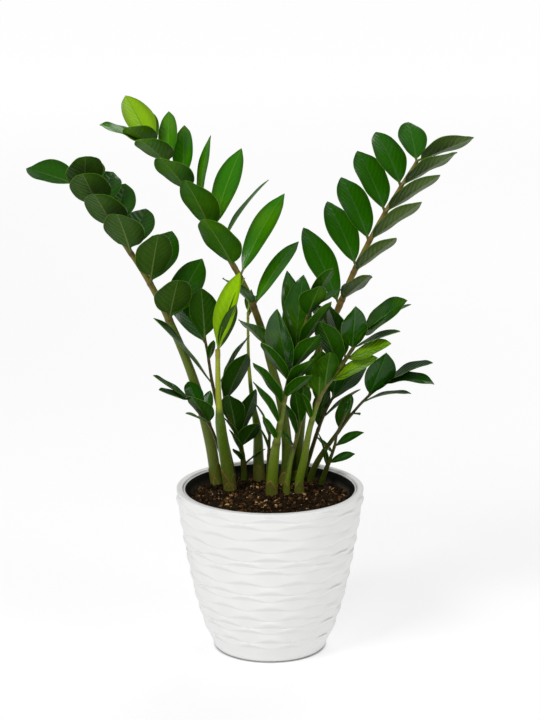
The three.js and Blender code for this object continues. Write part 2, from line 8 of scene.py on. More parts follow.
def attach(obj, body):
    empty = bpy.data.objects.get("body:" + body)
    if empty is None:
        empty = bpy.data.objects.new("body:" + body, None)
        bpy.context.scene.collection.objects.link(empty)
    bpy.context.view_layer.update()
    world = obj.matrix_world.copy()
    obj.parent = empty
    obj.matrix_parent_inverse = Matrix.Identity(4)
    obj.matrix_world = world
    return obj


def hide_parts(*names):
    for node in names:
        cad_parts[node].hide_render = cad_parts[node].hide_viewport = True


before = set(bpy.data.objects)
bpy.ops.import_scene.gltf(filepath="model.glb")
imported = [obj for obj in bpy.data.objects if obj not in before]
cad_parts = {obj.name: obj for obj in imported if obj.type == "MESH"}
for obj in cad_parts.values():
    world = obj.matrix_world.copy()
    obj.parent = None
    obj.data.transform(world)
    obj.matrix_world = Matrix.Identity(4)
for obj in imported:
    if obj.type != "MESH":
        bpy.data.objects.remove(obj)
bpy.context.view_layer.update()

# ---------------------------------------------------------------- studio
# The plant stands on a pale paper floor that glows softly, all but a thin dark ring at the pot's foot, a
# painted contact shadow.
# A big softbox high on the left is the main light, weaker ones stand on the right and behind, and a
# small one in front. The camera looks slightly down at the plant, from the front.
MM = 0.001
CAMERA_DISTANCE = 2.4
CAMERA_PITCH = math.radians(14.14)
CAMERA_AIM = Vector((0, 0, 0.3012))
FOCAL_PIXELS = 2394
FRAME_PIXELS = 720
SENSOR = 36
AIR_LIGHT = 0.34
FLOOR_HALF = 12
FLOOR_GREY = (0.45, 0.45, 0.45, 1)
FOOT_SHADOW_RADII = (0.055, 0.0595)
PAPER_GLOW = (0.6, 0.83)
PAPER_GLOW_RADII = (1.0, 4.5)


def add_node(tree, kind, inputs=None, **settings):
    """A shader node with its settings, its inputs given as values or as sockets to link."""
    made = tree.nodes.new(kind)
    for key, value in settings.items():
        setattr(made, key, value)
    for key, value in (inputs or {}).items():
        if isinstance(value, bpy.types.NodeSocket):
            tree.links.new(value, made.inputs[key])
        else:
            made.inputs[key].default_value = value
    return made


def new_material(name, **surface):
    """A material with its shader, whose fixed numbers are set on the shader's own sockets."""
    material = bpy.data.materials.new(name)
    material.use_nodes = True
    tree = material.node_tree
    shader = tree.nodes["Principled BSDF"]
    for key, value in surface.items():
        shader.inputs[key.replace("_", " ")].default_value = value
    return material, tree, shader


def place_of(tree):
    return add_node(tree, "ShaderNodeTexCoord").outputs["Object"]


def maths(tree, operation, first, second=0.0, clamp=False):
    made = add_node(tree, "ShaderNodeMath", {0: first, 1: second}, operation=operation, use_clamp=clamp)
    return made.outputs[0]


def ranged(tree, value, low, high, out_low=0.0, out_high=1.0):
    """The value carried smoothly from one range to another."""
    made = add_node(
        tree, "ShaderNodeMapRange",
        {"Value": value, "From Min": low, "From Max": high, "To Min": out_low, "To Max": out_high},
        interpolation_type="SMOOTHSTEP",
    )
    return made.outputs["Result"]


def add_light(name, place, aim_height, size, power):
    """A square softbox, in metres and watts, turned to a height on the plant's axis."""
    data = bpy.data.lights.new(name, "AREA")
    data.shape = "SQUARE"
    data.size = size
    data.energy = power
    lamp = bpy.data.objects.new(name, data)
    lamp.location = place
    towards = Vector((0, 0, aim_height)) - Vector(place)
    lamp.rotation_euler = towards.to_track_quat("-Z", "Y").to_euler()
    bpy.context.collection.objects.link(lamp)


camera_data = bpy.data.cameras.new("camera")
camera_data.sensor_fit = "VERTICAL"
camera_data.sensor_width = camera_data.sensor_height = SENSOR
camera_data.lens = FOCAL_PIXELS / FRAME_PIXELS * SENSOR
camera_data.clip_end = 50
camera = bpy.data.objects.new("camera", camera_data)
look = Vector((0, math.cos(CAMERA_PITCH), -math.sin(CAMERA_PITCH)))
camera.location = CAMERA_AIM - look * CAMERA_DISTANCE
camera.rotation_euler = (math.pi / 2 - CAMERA_PITCH, 0, 0)
bpy.context.collection.objects.link(camera)
bpy.context.scene.camera = camera
bpy.context.scene.view_settings.view_transform = "Standard"

world = bpy.data.worlds.new("studio")
bpy.context.scene.world = world
world.use_nodes = True
world.node_tree.nodes["Background"].inputs["Color"].default_value = (1, 1, 1, 1)
world.node_tree.nodes["Background"].inputs["Strength"].default_value = AIR_LIGHT

add_light("softbox_left", place=(-1.5, -1.7, 2.3), aim_height=0.25, size=1.1, power=45)
add_light("softbox_right", place=(2.0, -1.3, 1.3), aim_height=0.3, size=1.0, power=12)
add_light("softbox_front", place=(-0.3, -2.6, 1.25), aim_height=0.3, size=0.4, power=8)
add_light("softbox_back", place=(0.6, 1.9, 2.2), aim_height=0.3, size=1.4, power=20)

floor_mesh = bpy.data.meshes.new("studio_floor")
corners = [(-1, -1), (1, -1), (1, 1), (-1, 1)]
floor_mesh.from_pydata([(x * FLOOR_HALF, y * FLOOR_HALF, 0) for x, y in corners], [], [(0, 1, 2, 3)])
floor = bpy.data.objects.new("studio_floor", floor_mesh)
bpy.context.collection.objects.link(floor)
floor_material, floor_tree, floor_shader = new_material(
    "pale_floor", Base_Color=FLOOR_GREY, Roughness=0.9, Specular_IOR_Level=0.0, Emission_Strength=1.0
)
away = add_node(
    floor_tree, "ShaderNodeVectorMath", {0: place_of(floor_tree)}, operation="LENGTH"
).outputs["Value"]
lit_paper = ranged(floor_tree, away, *PAPER_GLOW_RADII, *PAPER_GLOW)
# the glow fades to nothing in a thin ring round the pot's foot: a painted contact shadow
glow = maths(floor_tree, "MULTIPLY", ranged(floor_tree, away, *FOOT_SHADOW_RADII), lit_paper)
floor_tree.links.new(glow, floor_shader.inputs["Emission Color"])
floor_mesh.materials.append(floor_material)


# ------------------------------------------------------------- cover pot
# A moulded cover pot of matte white plastic, with a smooth rounded lip. Its wall is stepped in wavy
# bands, each standing out at its lower edge over a hollow that is deepest under the wave's crests.
# The foot and the lip are given in steps of height, radius and share of painted shade.
POT_FOOT = ((0, 54.3, 0.9), (0.5, 55.3, 0.8), (2.4, 57.2, 0.5))
POT_LIP = (
    (165.6, 94.6, 0), (166.6, 95, 0), (167.6, 95, 0), (168.3, 94.7, 0), (168.8, 94.1, 0), (169, 93.2, 0),
    (169, 90, 0.1), (168.8, 89.2, 0.1), (168.2, 88.7, 0.1), (167.4, 88.6, 0.1), (161, 88.6, 0.6),
)
POT_INSIDE_HEIGHTS = (150, 118, 84, 57, 32, 15, 6)
POT_INSIDE_SHADE = 0.6
POT_WALL = 4.5
POT_PROFILE = (
    (0, 55.5), (5, 59), (15, 63), (32, 68.8), (57, 76), (84, 81.5), (118, 87.6), (150, 92.6), (166, 95),
)
PROFILE_ROUNDING = (-9, -6, -3, 0, 3, 6, 9)
BAND_EDGES = (20.5, 27, 38.5, 45, 54, 65, 76, 82.5, 93, 106, 113.5, 120, 130.5, 143, 155, 162.5)
WAVES_ROUND = 10
WAVE_SWING = 2.5
EDGE_DEPTH = (0.4, 1.6)
UNDERCUT_HEIGHT = (1.6, 4.8)
UNDERCUT_SHARE = 0.6
BAND_FOR_FULL_DEPTH = 8
LEAST_DEPTH_SHARE = 0.25
BAND_STEPS = (0.06, 0.16, 0.3, 0.48, 0.66, 0.82, 0.93)
BAND_FULLNESS = (1.8, 1.3)
EDGE_STEPS = ((0.15, 0.05), (0.32, 0.22), (0.5, 0.5), (0.68, 0.78), (0.85, 0.95))
POT_SIDES = 480
POT_CORNER_ANGLE = 65
POT_WHITE = (0.80, 0.80, 0.795, 1)
POT_WARM_WHITE = (0.75, 0.745, 0.73, 1)
POT_SHADE_GREY = (0.62, 0.61, 0.59, 1)
POT_SHADE_SHARE = 0.35
POT_WARM_SHARE = 0.35
# painted shade on each band, in each hollow and at each edge
BAND_SHADE, HOLLOW_SHADE, EDGE_SHADE = 0.15, 0.8, 0.1
POT_GRAIN = (900, 14)
POT_GRAIN_DEPTH = 0.00006
POT_ROUGHNESS = (0.42, 0.5)


def circle(radius, height, sides):
    """Points round the pot's axis. Radius and height may be arrays, one value for each point."""
    angle = np.arange(sides) * 2 * math.pi / sides
    ring = np.empty((sides, 3))
    ring[:, 0] = radius * np.sin(angle)
    ring[:, 1] = -radius * np.cos(angle)
    ring[:, 2] = height
    return ring


def tube_faces(rings, sides):
    """Blocks of faces of a closed tube: its wall ring by ring, and a fan over each end."""
    first = np.arange(sides)
    after = (first + 1) % sides
    blocks = []
    for low in range(0, (rings - 1) * sides, sides):
        high = low + sides
        blocks.append(np.stack([low + first, low + after, high + after, high + first], 1))
    centre, last = rings * sides, (rings - 1) * sides
    blocks.append(np.stack([np.full(sides, centre), after, first], 1))
    blocks.append(np.stack([np.full(sides, centre + 1), last + first, last + after], 1))
    return blocks


def new_piece(name, points, faces, materials=(), slots=None, corner_angle=None):
    """A piece from points in millimetres, smooth up to its corner angle or, without one, faceted."""
    mesh = bpy.data.meshes.new(name)
    mesh.from_pydata((points * MM).tolist(), [], faces)
    for material in materials:
        mesh.materials.append(material)
    if slots is not None:
        mesh.polygons.foreach_set("material_index", np.array(slots, np.int32))
    if corner_angle is not None:
        mesh.polygons.foreach_set("use_smooth", np.ones(len(faces), bool))
        mesh.set_sharp_from_angle(angle=math.radians(corner_angle))
    piece = bpy.data.objects.new(name, mesh)
    bpy.context.collection.objects.link(piece)
    return piece


def turned_body(name, rings, material, painted_shades=None):
    """A closed body from rings of points, with how much painted shade it has at each ring."""
    sides = len(rings[0])
    points = np.concatenate(rings + [rings[0].mean(0)[None], rings[-1].mean(0)[None]])
    faces = [face for block in tube_faces(len(rings), sides) for face in block.tolist()]
    piece = new_piece(name, points, faces, [material], corner_angle=POT_CORNER_ANGLE)
    if painted_shades is not None:
        values = np.concatenate([np.broadcast_to(hollow, sides) for hollow in painted_shades] + [[0, 0]])
        piece.data.attributes.new("hollow", "FLOAT", "POINT").data.foreach_set("value", values)
    return piece


def pot_radius(height):
    return np.interp(height, [h for h, _ in POT_PROFILE], [r for _, r in POT_PROFILE])


def smooth_pot_radius(height):
    """The profile with its corners rounded, as a moulded wall has them."""
    return sum(pot_radius(height + shift) for shift in PROFILE_ROUNDING) / len(PROFILE_ROUNDING)


def wave_of(k, angle):
    """The wave of a band's edge, from 0 to 1. Bands next to each other swing the other way."""
    phase = 0 if (len(BAND_EDGES) - 1 - k) % 2 == 0 else math.pi
    return (1 + np.cos(WAVES_ROUND * angle + phase)) / 2


def blend(low, high, part):
    return low + (high - low) * part


def make_cover_pot(material):
    angle = np.arange(POT_SIDES) * 2 * math.pi / POT_SIDES
    steps = [*POT_FOOT]
    edge_before, radius_before, _ = POT_FOOT[-1]
    for k, edge_height in enumerate(BAND_EDGES):
        wave = wave_of(k, angle)
        edge = edge_height + WAVE_SWING * (2 * wave - 1)
        gap = edge - edge_before
        hollow = edge - np.minimum(blend(*UNDERCUT_HEIGHT, wave), UNDERCUT_SHARE * gap)
        hollow_radius = smooth_pot_radius(hollow)
        # the band below, from its own edge up to the hollow: a full curve that turns in at the top
        for part in BAND_STEPS:
            height = blend(edge_before, hollow, part)
            kept = (1 - part ** BAND_FULLNESS[0]) ** BAND_FULLNESS[1]
            fullness = (radius_before - smooth_pot_radius(edge_before)) * kept
            # painted shade, growing up the band towards the hollow under the next edge
            steps.append((height, smooth_pot_radius(height) + fullness, BAND_SHADE * part))
        steps.append((hollow, hollow_radius, wave))
        # out again to the edge of the next band, which stands out less where the band is narrow
        room = np.clip(gap / BAND_FOR_FULL_DEPTH, LEAST_DEPTH_SHARE, 1)
        edge_radius = smooth_pot_radius(edge) + blend(*EDGE_DEPTH, wave) * room
        for part, out in EDGE_STEPS:
            height, radius = blend(hollow, edge, part), blend(hollow_radius, edge_radius, out)
            # painted shade in the hollow, deepest under the crests and fading out towards the next edge
            steps.append((height, radius, wave * (1 - part) * HOLLOW_SHADE))
        steps.append((edge, edge_radius, EDGE_SHADE))
        edge_before, radius_before = edge, edge_radius
    steps += POT_LIP
    # the inside wall is grey with painted shade
    steps += [(height, pot_radius(height) - POT_WALL, POT_INSIDE_SHADE) for height in POT_INSIDE_HEIGHTS]
    rings = [circle(radius, height, POT_SIDES) for height, radius, _ in steps]
    return turned_body("cover_pot", rings, material, [painted_shade for _, _, painted_shade in steps])


def noise_in(tree, place, scale, detail, roughness):
    made = add_node(
        tree, "ShaderNodeTexNoise",
        {"Vector": place, "Scale": scale, "Detail": detail, "Roughness": roughness},
    )
    return made.outputs["Fac"]


def surface_grain_group():
    """Fine grain of a surface: a height for bump, and slow cloudy patches."""
    group = bpy.data.node_groups.new("Surface Grain", "ShaderNodeTree")
    face = group.interface
    face.new_socket("Place", in_out="INPUT", socket_type="NodeSocketVector")
    for name in ("Grain Scale", "Patch Scale"):
        face.new_socket(name, in_out="INPUT", socket_type="NodeSocketFloat")
    for name in ("Grain", "Patches"):
        face.new_socket(name, in_out="OUTPUT", socket_type="NodeSocketFloat")
    given = group.nodes.new("NodeGroupInput").outputs
    made = group.nodes.new("NodeGroupOutput").inputs
    grain = noise_in(group, given["Place"], given["Grain Scale"], 3, 0.55)
    patches = noise_in(group, given["Place"], given["Patch Scale"], 3, 0.5)
    group.links.new(grain, made["Grain"])
    group.links.new(ranged(group, patches, 0.32, 0.68), made["Patches"])
    return group


SURFACE_GRAIN = surface_grain_group()


def grain_in(tree, grain_scale, patch_scale):
    given = {"Place": place_of(tree), "Grain Scale": grain_scale, "Patch Scale": patch_scale}
    made = add_node(tree, "ShaderNodeGroup", given, node_tree=SURFACE_GRAIN)
    return made.outputs["Grain"], made.outputs["Patches"]


def colour_mix(tree, part, low, high):
    """A colour between two, which may be sockets, by a part from 0 to 1."""
    return add_node(tree, "ShaderNodeMix", {0: part, 6: low, 7: high}, data_type="RGBA").outputs[2]


def attribute(tree, name, output):
    return add_node(tree, "ShaderNodeAttribute", attribute_name=name).outputs[output]


def dress(tree, shader, colour, roughness, height, depth):
    """Links what changes over a surface: its colour, its roughness, and a bump of a depth in metres."""
    tree.links.new(colour, shader.inputs["Base Color"])
    tree.links.new(roughness, shader.inputs["Roughness"])
    raised = add_node(tree, "ShaderNodeBump", {"Height": height, "Distance": depth, "Strength": 1.0})
    tree.links.new(raised.outputs["Normal"], shader.inputs["Normal"])


def white_plastic():
    material, tree, shader = new_material(
        "moulded_white_plastic", Specular_IOR_Level=0.4, Coat_Weight=0.06, Coat_Roughness=0.3
    )
    grain, patches = grain_in(tree, *POT_GRAIN)
    warm = maths(tree, "MULTIPLY", patches, POT_WARM_SHARE)
    colour = colour_mix(tree, warm, POT_WHITE, POT_WARM_WHITE)
    # painted shade: grey in the hollows under the bands' edges, at the foot and inside the pot
    painted_shade = maths(tree, "MULTIPLY", attribute(tree, "hollow", "Fac"), POT_SHADE_SHARE)
    colour = colour_mix(tree, painted_shade, colour, POT_SHADE_GREY)
    dress(tree, shader, colour, ranged(tree, patches, 0, 1, *POT_ROUGHNESS), grain, POT_GRAIN_DEPTH)
    return material


cover_pot = make_cover_pot(white_plastic())
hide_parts("planter")
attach(cover_pot, "root")

# ----------------------------------------------------------- nursery pot
# The thin dark pot that the plant was grown in, standing loose inside the cover pot. Its rolled lip carries
# a painted highlight in a dull silver grey, and a film of dried mix clings to the wall above the soil. The
# lip's bead is given by how far each point lies under the rim and in from the lip's edge.
LINER_FLOOR = 6.3
LINER_RIM = 167.6
LINER_NECK = 163.6
LINER_BASE_RADIUS = 54
LINER_TOP_RADIUS = 86.6
LINER_LIP_RADIUS = 88.2
LINER_LIP_BEAD = (
    (3.3, 0.5), (2.8, 0), (0.7, 0), (0.2, 0.3), (0, 0.8), (0.1, 1.5), (0.7, 2.1), (2.2, 2.6),
)
LINER_LIP_HIGHLIGHT_FADE = (0.9, 0.3)
LINER_WALL = 1.6
LINER_SIDES = 192
LINER_DARK = (0.006, 0.006, 0.005, 1)
LINER_LIP_HIGHLIGHT = (0.62, 0.62, 0.61, 1)
LINER_DUST = (0.10, 0.085, 0.065, 1)
LINER_DUST_HEIGHTS = (0.163, 0.155)
LINER_DUST_SHARE = 0.6
LINER_GRAIN = (700, 60)
LINER_GRAIN_DEPTH = 0.00008
LINER_ROUGHNESS = (0.28, 0.45)


def liner_radius(height):
    return blend(LINER_BASE_RADIUS, LINER_TOP_RADIUS, (height - LINER_FLOOR) / (LINER_RIM - LINER_FLOOR))


def make_nursery_pot(material):
    steps = [(LINER_FLOOR, LINER_BASE_RADIUS - 1), (LINER_FLOOR + 1.5, LINER_BASE_RADIUS)]
    steps += [(h, liner_radius(h)) for h in (60, 110, LINER_NECK)]
    steps += [(LINER_RIM - under, LINER_LIP_RADIUS - inwards) for under, inwards in LINER_LIP_BEAD]
    steps += [(h, liner_radius(h) - LINER_WALL) for h in (LINER_NECK - 1, 150, 110, 60)]
    steps += [(LINER_FLOOR + LINER_WALL, LINER_BASE_RADIUS - LINER_WALL)]
    return turned_body("liner_pot", [circle(r, h, LINER_SIDES) for h, r in steps], material)


def parts_of(tree, vector):
    return add_node(tree, "ShaderNodeSeparateXYZ", {"Vector": vector}).outputs


def dark_thin_plastic():
    material, tree, shader = new_material("thin_dark_plastic", Specular_IOR_Level=0.1)
    grain, patches = grain_in(tree, *LINER_GRAIN)
    height = parts_of(tree, place_of(tree))["Z"]
    # painted highlight: the colour turns silver grey just under the rim
    painted_lip_highlight = ranged(tree, height, *[(LINER_RIM - under) * MM for under in LINER_LIP_HIGHLIGHT_FADE])
    dusty = maths(tree, "MULTIPLY", ranged(tree, height, *LINER_DUST_HEIGHTS), patches)
    colour = colour_mix(tree, maths(tree, "MULTIPLY", dusty, LINER_DUST_SHARE), LINER_DARK, LINER_DUST)
    colour = colour_mix(tree, painted_lip_highlight, colour, LINER_LIP_HIGHLIGHT)
    roughness = ranged(tree, patches, 0, 1, *LINER_ROUGHNESS)
    dress(tree, shader, colour, roughness, grain, LINER_GRAIN_DEPTH)
    return material


liner_pot = make_nursery_pot(dark_thin_plastic())
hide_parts("nursery_pot")
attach(liner_pot, "root")

# ------------------------------------------------- how a frond is grown
# Each frond is one grown body: a fleshy stem that tapers from a swollen foot, papery sheaths round
# that foot, and thick leaflets on short stalks in rows along it, each folded at its midrib.
STEM_SIDES = 18
STEM_RING_SPACING = 3.0
STEM_NODE_SWELL = 0.13
STEM_NODE_REACH = 2.0
HOLE_FLOOR = 140.6
LINE_STEPS = 10
BLADE_ROWS = 26
BLADE_COLUMNS = np.array(
    (-1, -0.95, -0.8, -0.58, -0.35, -0.16, -0.05, 0, 0.05, 0.16, 0.35, 0.58, 0.8, 0.95, 1)
)
BLADE_THICKNESS = 0.8
BLADE_TWIST = 7
BLADE_RIPPLE = (0.02, 0.045)
RIPPLES_ALONG = (1.2, 2.0)
BLADE_LOPSIDED = 0.04
STALK_THICKNESS = 1.9
LEAST_HALF_WIDTH = 0.7
RIB_HALF_WIDTH = 1.1
RIB_SUNK = 0.35
RIB_RAISED = 0.55
BLADE_SHAPE = {"fold": 12, "arch": 0.02, "fullest": 0.5, "blunt": 0.2, "stalk": 0.08}
SHEATH_STEPS = 17
SHEATH_LEVELS = 7
SHEATH_POINT = (0.95, 1.3)
SHEATH_BURIED = 5
SHEATH_GAP = 0.12
SHEATH_THICKNESS = 0.3
SHEATH_FLARE = 0.25
FROND_CORNER_ANGLE = 42
UPPER, UNDER, STEM, SHEATH = range(4)
UPWARDS = np.array((0, 0, 1.0))
FEET = []


def along(values, part):
    """A value read along a short list of evenly spaced ones, part from 0 to 1."""
    if not isinstance(values, (list, tuple)):
        return values
    return float(np.interp(part * (len(values) - 1), range(len(values)), values))


class SmoothLine:
    """A smooth line through points, with the place and direction at any part of its length."""

    def __init__(self, points):
        given = np.array([points[0], *points, points[-1]], float)
        places = []
        for a, b, c, d in zip(given, given[1:], given[2:], given[3:]):
            for step in range(LINE_STEPS):
                t = step / LINE_STEPS
                place = a * (-0.5 * t + t * t - 0.5 * t**3) + b * (1 - 2.5 * t * t + 1.5 * t**3)
                place = place + c * (0.5 * t + 2 * t * t - 1.5 * t**3)
                places.append(place + d * (0.5 * t**3 - 0.5 * t * t))
        places.append(given[-1])
        self.places = np.array(places)
        steps = np.linalg.norm(np.diff(self.places, axis=0), axis=1)
        self.reach = np.concatenate([[0], np.cumsum(steps)])
        self.length = self.reach[-1]

    def place(self, part):
        goal = np.clip(part, 0, 1) * self.length
        return np.array([np.interp(goal, self.reach, self.places[:, axis]) for axis in range(3)])

    def direction(self, part):
        ahead = self.place(min(part + 0.01, 1)) - self.place(max(part - 0.01, 0))
        return ahead / np.linalg.norm(ahead)


class Growth:
    """The points, faces and surface values of one frond, gathered leaflet by leaflet."""

    def __init__(self):
        self.points, self.faces, self.slots = [], [], []
        self.spread, self.tone, self.edge = [], [], []
        self.count = 0

    def add(self, points, blocks, kinds, spread, tone=0, edge=0):
        """Points with blocks of faces, the finish of each block, and the values of the points."""
        for block, kind in zip(blocks, kinds):
            self.faces += (block + self.count).tolist()
            self.slots += [kind] * len(block)
        self.points.append(points)
        self.spread.append(spread)
        self.tone.append(np.broadcast_to(tone, len(points)))
        self.edge.append(np.broadcast_to(edge, len(points)))
        self.count += len(points)

    def piece(self, name, materials):
        points = np.concatenate(self.points)
        made = new_piece(name, points, self.faces, materials, self.slots, FROND_CORNER_ANGLE)
        spread = made.data.attributes.new("spread", "FLOAT_VECTOR", "POINT")
        spread.data.foreach_set("vector", np.concatenate(self.spread).ravel())
        for key, values in (("tone", self.tone), ("edge", self.edge)):
            given = made.data.attributes.new(key, "FLOAT", "POINT")
            given.data.foreach_set("value", np.concatenate(values))
        return made


def sheet_faces(rows, columns):
    """Blocks of faces of a thin sheet: its upper side, its underside, and the four strips of its rim."""
    i, j = np.meshgrid(np.arange(rows - 1), np.arange(columns - 1), indexing="ij")
    corner = (i * columns + j).ravel()
    upper = np.stack([corner, corner + 1, corner + columns + 1, corner + columns], 1)
    size = rows * columns
    left, foot = np.arange(rows - 1) * columns, np.arange(columns - 1)
    right, tip = left + columns - 1, foot + (rows - 1) * columns
    return [
        upper,
        upper[:, ::-1] + size,
        np.stack([left, left + columns, left + columns + size, left + size], 1),
        np.stack([right, right + size, right + columns + size, right + columns], 1),
        np.stack([foot, foot + size, foot + 1 + size, foot + 1], 1),
        np.stack([tip, tip + 1, tip + 1 + size, tip + size], 1),
    ]


def smoothstep(value, low, high):
    part = np.clip((value - low) / (high - low), 0, 1)
    return part * part * (3 - 2 * part)


def blade_outline(part, fullest, blunt, stalk):
    """Half width along a leaflet: a short stalk, a rounded base, a full middle and a drawn-out tip."""
    body = np.clip((part - stalk) / (1 - stalk), 0, 1)
    full = np.sin(math.pi * body ** (math.log(0.5) / math.log(fullest))) ** (0.72 - 0.2 * blunt)
    drawn_out = 1 - (0.35 - 0.35 * blunt) * smoothstep(part, 0.84, 1)
    full = full * smoothstep(part, stalk - 0.02, stalk + 0.05) * drawn_out
    return np.maximum(full, 0.08 * (1 - smoothstep(part, 0.5, 1)))


def add_leaflet(growth, root, heading, rise, roll, length, width, tone, chance, shape):
    """One thick blade with an upper side, an underside and a rim, folded along its midrib."""
    heading, rise, roll = math.radians(heading), math.radians(rise), math.radians(roll)
    out = np.array(
        (math.sin(heading) * math.cos(rise), math.cos(heading) * math.cos(rise), math.sin(rise))
    )
    side = np.cross(out, UPWARDS)
    side /= np.linalg.norm(side)
    side = side * math.cos(roll) - np.cross(out, side) * math.sin(roll)
    face = np.cross(side, out)
    part = np.linspace(0, 1, BLADE_ROWS)[:, None]
    across = BLADE_COLUMNS[None, :]
    fold = math.radians(shape["fold"])
    outline = blade_outline(part, shape["fullest"], shape["blunt"], shape["stalk"])
    half = np.maximum(outline * width / 2, LEAST_HALF_WIDTH * (1 - 0.85 * part**6))
    bend = math.radians(chance.uniform(-BLADE_TWIST, BLADE_TWIST)) * part
    ripple = chance.uniform(*BLADE_RIPPLE) * width * np.sin(
        2 * math.pi * (chance.uniform(*RIPPLES_ALONG) * part + chance.random())
    )
    ripple = ripple * across * np.abs(across) * smoothstep(part, 0.15, 0.4) * (1 - smoothstep(part, 0.9, 1))
    fuller = 1 + chance.uniform(-BLADE_LOPSIDED, BLADE_LOPSIDED) * np.sign(across)
    x = across * half * math.cos(fold) * fuller
    lift = half * math.sin(fold) * (0.6 * np.abs(across) + 0.4 * across**2) + ripple
    lift = lift + shape["arch"] * length * 4 * part * (1 - part)
    sideways, upwards = x * np.cos(bend), lift + x * np.sin(bend)
    middle = (
        root[None, None, :]
        + (out * length)[None, None, :] * part[:, :, None]
        + side[None, None, :] * sideways[:, :, None]
        + face[None, None, :] * upwards[:, :, None]
    )
    thick = blend(STALK_THICKNESS, BLADE_THICKNESS, smoothstep(part, 0.02, 0.2)) * (1 - 0.4 * across**2)
    rib = np.exp(-((x / RIB_HALF_WIDTH) ** 2)) * (1 - 0.75 * part) * smoothstep(part, 0.06, 0.14)
    upper = middle + face[None, None, :] * (thick / 2 - RIB_SUNK * rib)[:, :, None]
    under = middle - face[None, None, :] * (thick / 2 + RIB_RAISED * rib)[:, :, None]
    points = np.concatenate([upper.reshape(-1, 3), under.reshape(-1, 3)])
    spread = np.stack(np.broadcast_arrays(x, part * length, part), 2).reshape(-1, 3)
    edge = np.broadcast_to(np.abs(across), x.shape).reshape(-1)
    growth.add(
        points, sheet_faces(BLADE_ROWS, len(BLADE_COLUMNS)), [UPPER, UNDER] + [UPPER] * 4,
        np.concatenate([spread, spread]), tone, np.concatenate([edge, edge]),
    )


def square_to(direction):
    """Two directions square to a stem's own and to each other."""
    first = np.array((1.0, 0, 0)) - direction * direction[0]
    first /= np.linalg.norm(first)
    return first, np.cross(direction, first)


def add_stem(growth, line, radii, joints):
    """The stem: straight down in its hole, then along its line, a little swollen at each leaflet."""
    rings = max(8, int(line.length / STEM_RING_SPACING))
    start = line.place(0)
    rows = [(np.array((start[0], start[1], HOLE_FLOOR)), UPWARDS, radii[0], 0.0, 0.0)]
    for part in [i / rings for i in range(rings + 1)]:
        away = min([abs(part - j) * line.length for j in joints] + [99])
        swell = math.exp(-((away / STEM_NODE_REACH) ** 2))
        direction = line.direction(part) if part > 0 else UPWARDS
        radius = along(radii, part) * (1 + STEM_NODE_SWELL * swell)
        rows.append((line.place(part), direction, radius, part, swell))
    turn = np.arange(STEM_SIDES) * 2 * math.pi / STEM_SIDES
    points, spread, tone = [], [], []
    for centre, direction, radius, part, swell in rows:
        first, other = square_to(direction)
        points.append(centre + radius * (np.cos(turn)[:, None] * first + np.sin(turn)[:, None] * other))
        spread.append(np.stack(np.broadcast_arrays(turn * radius, part * line.length, part), 1))
        tone.append(np.full(STEM_SIDES, swell))
    top, direction, radius = rows[-1][:3]
    points += [rows[0][0][None], (top + direction * radius * 0.6)[None]]
    spread += [np.array([[0, 0, 0]]), np.array([[0, line.length, 1.0]])]
    tone += [[0], [0]]
    blocks = tube_faces(len(rows), STEM_SIDES)
    growth.add(
        np.concatenate(points), blocks, [STEM] * len(blocks), np.concatenate(spread), np.concatenate(tone)
    )


def add_sheath(growth, line, radii, low, height, turn, reach):
    """A papery scale wrapped part of the way round the stem's foot, its top rising to a point."""
    points, spread, edge = [], [], []
    for skin in (1, 0):
        for level in np.linspace(0, 1, SHEATH_LEVELS):
            for around in np.linspace(-1, 1, SHEATH_STEPS):
                top = low + height * (1 - SHEATH_POINT[0] * abs(around) ** SHEATH_POINT[1])
                reached = blend(low - SHEATH_BURIED, top, level)
                part = max(reached, 0) / line.length
                centre = line.place(part) + np.array((0, 0, min(reached, 0)))
                first, other = square_to(line.direction(part) if part > 0.001 else UPWARDS)
                angle = turn + around * reach
                radius = along(radii, part) + SHEATH_GAP + SHEATH_THICKNESS * skin + SHEATH_FLARE * level
                points.append(centre + radius * (math.cos(angle) * first + math.sin(angle) * other))
                spread.append((angle * radius, reached, level))
                edge.append(max(abs(around), level))
    blocks = sheet_faces(SHEATH_LEVELS, SHEATH_STEPS)
    growth.add(np.array(points), blocks, [SHEATH] * len(blocks), np.array(spread), edge=edge)


VEIN_SPACING = 8.5
VEIN_CURVE = 0.025
VEIN_WANDER = 9.0
RIB_WIDTH = 1.25
RIB_SHARE = 0.75
LEAF_SHEEN = (0.45, 0.8, 0.12, 1)
LEAF_GRAIN = (420, 26)
LEAF_GRAIN_SHARE = 0.06
LEAF_DEPTH = 0.0005
LEAF_ROUGHNESS_SPREAD = 0.1
UNEVEN_TONE = 0.2
DEEP_GREEN = (0.002, 0.012, 0.0, 1)
DEEP_SHARE = 0.35
MARGIN_SHADE_EDGE = (0.45, 0.95)
STALK_COLOUR = (0.13, 0.15, 0.04, 1)
STALK_FADE = (0.13, 0.06)
STALK_SHARE = 0.8
RIM_COLOUR = (0.12, 0.27, 0.01, 1)
RIM_EDGE = (0.955, 1.0)
RIM_SHARE = 0.5


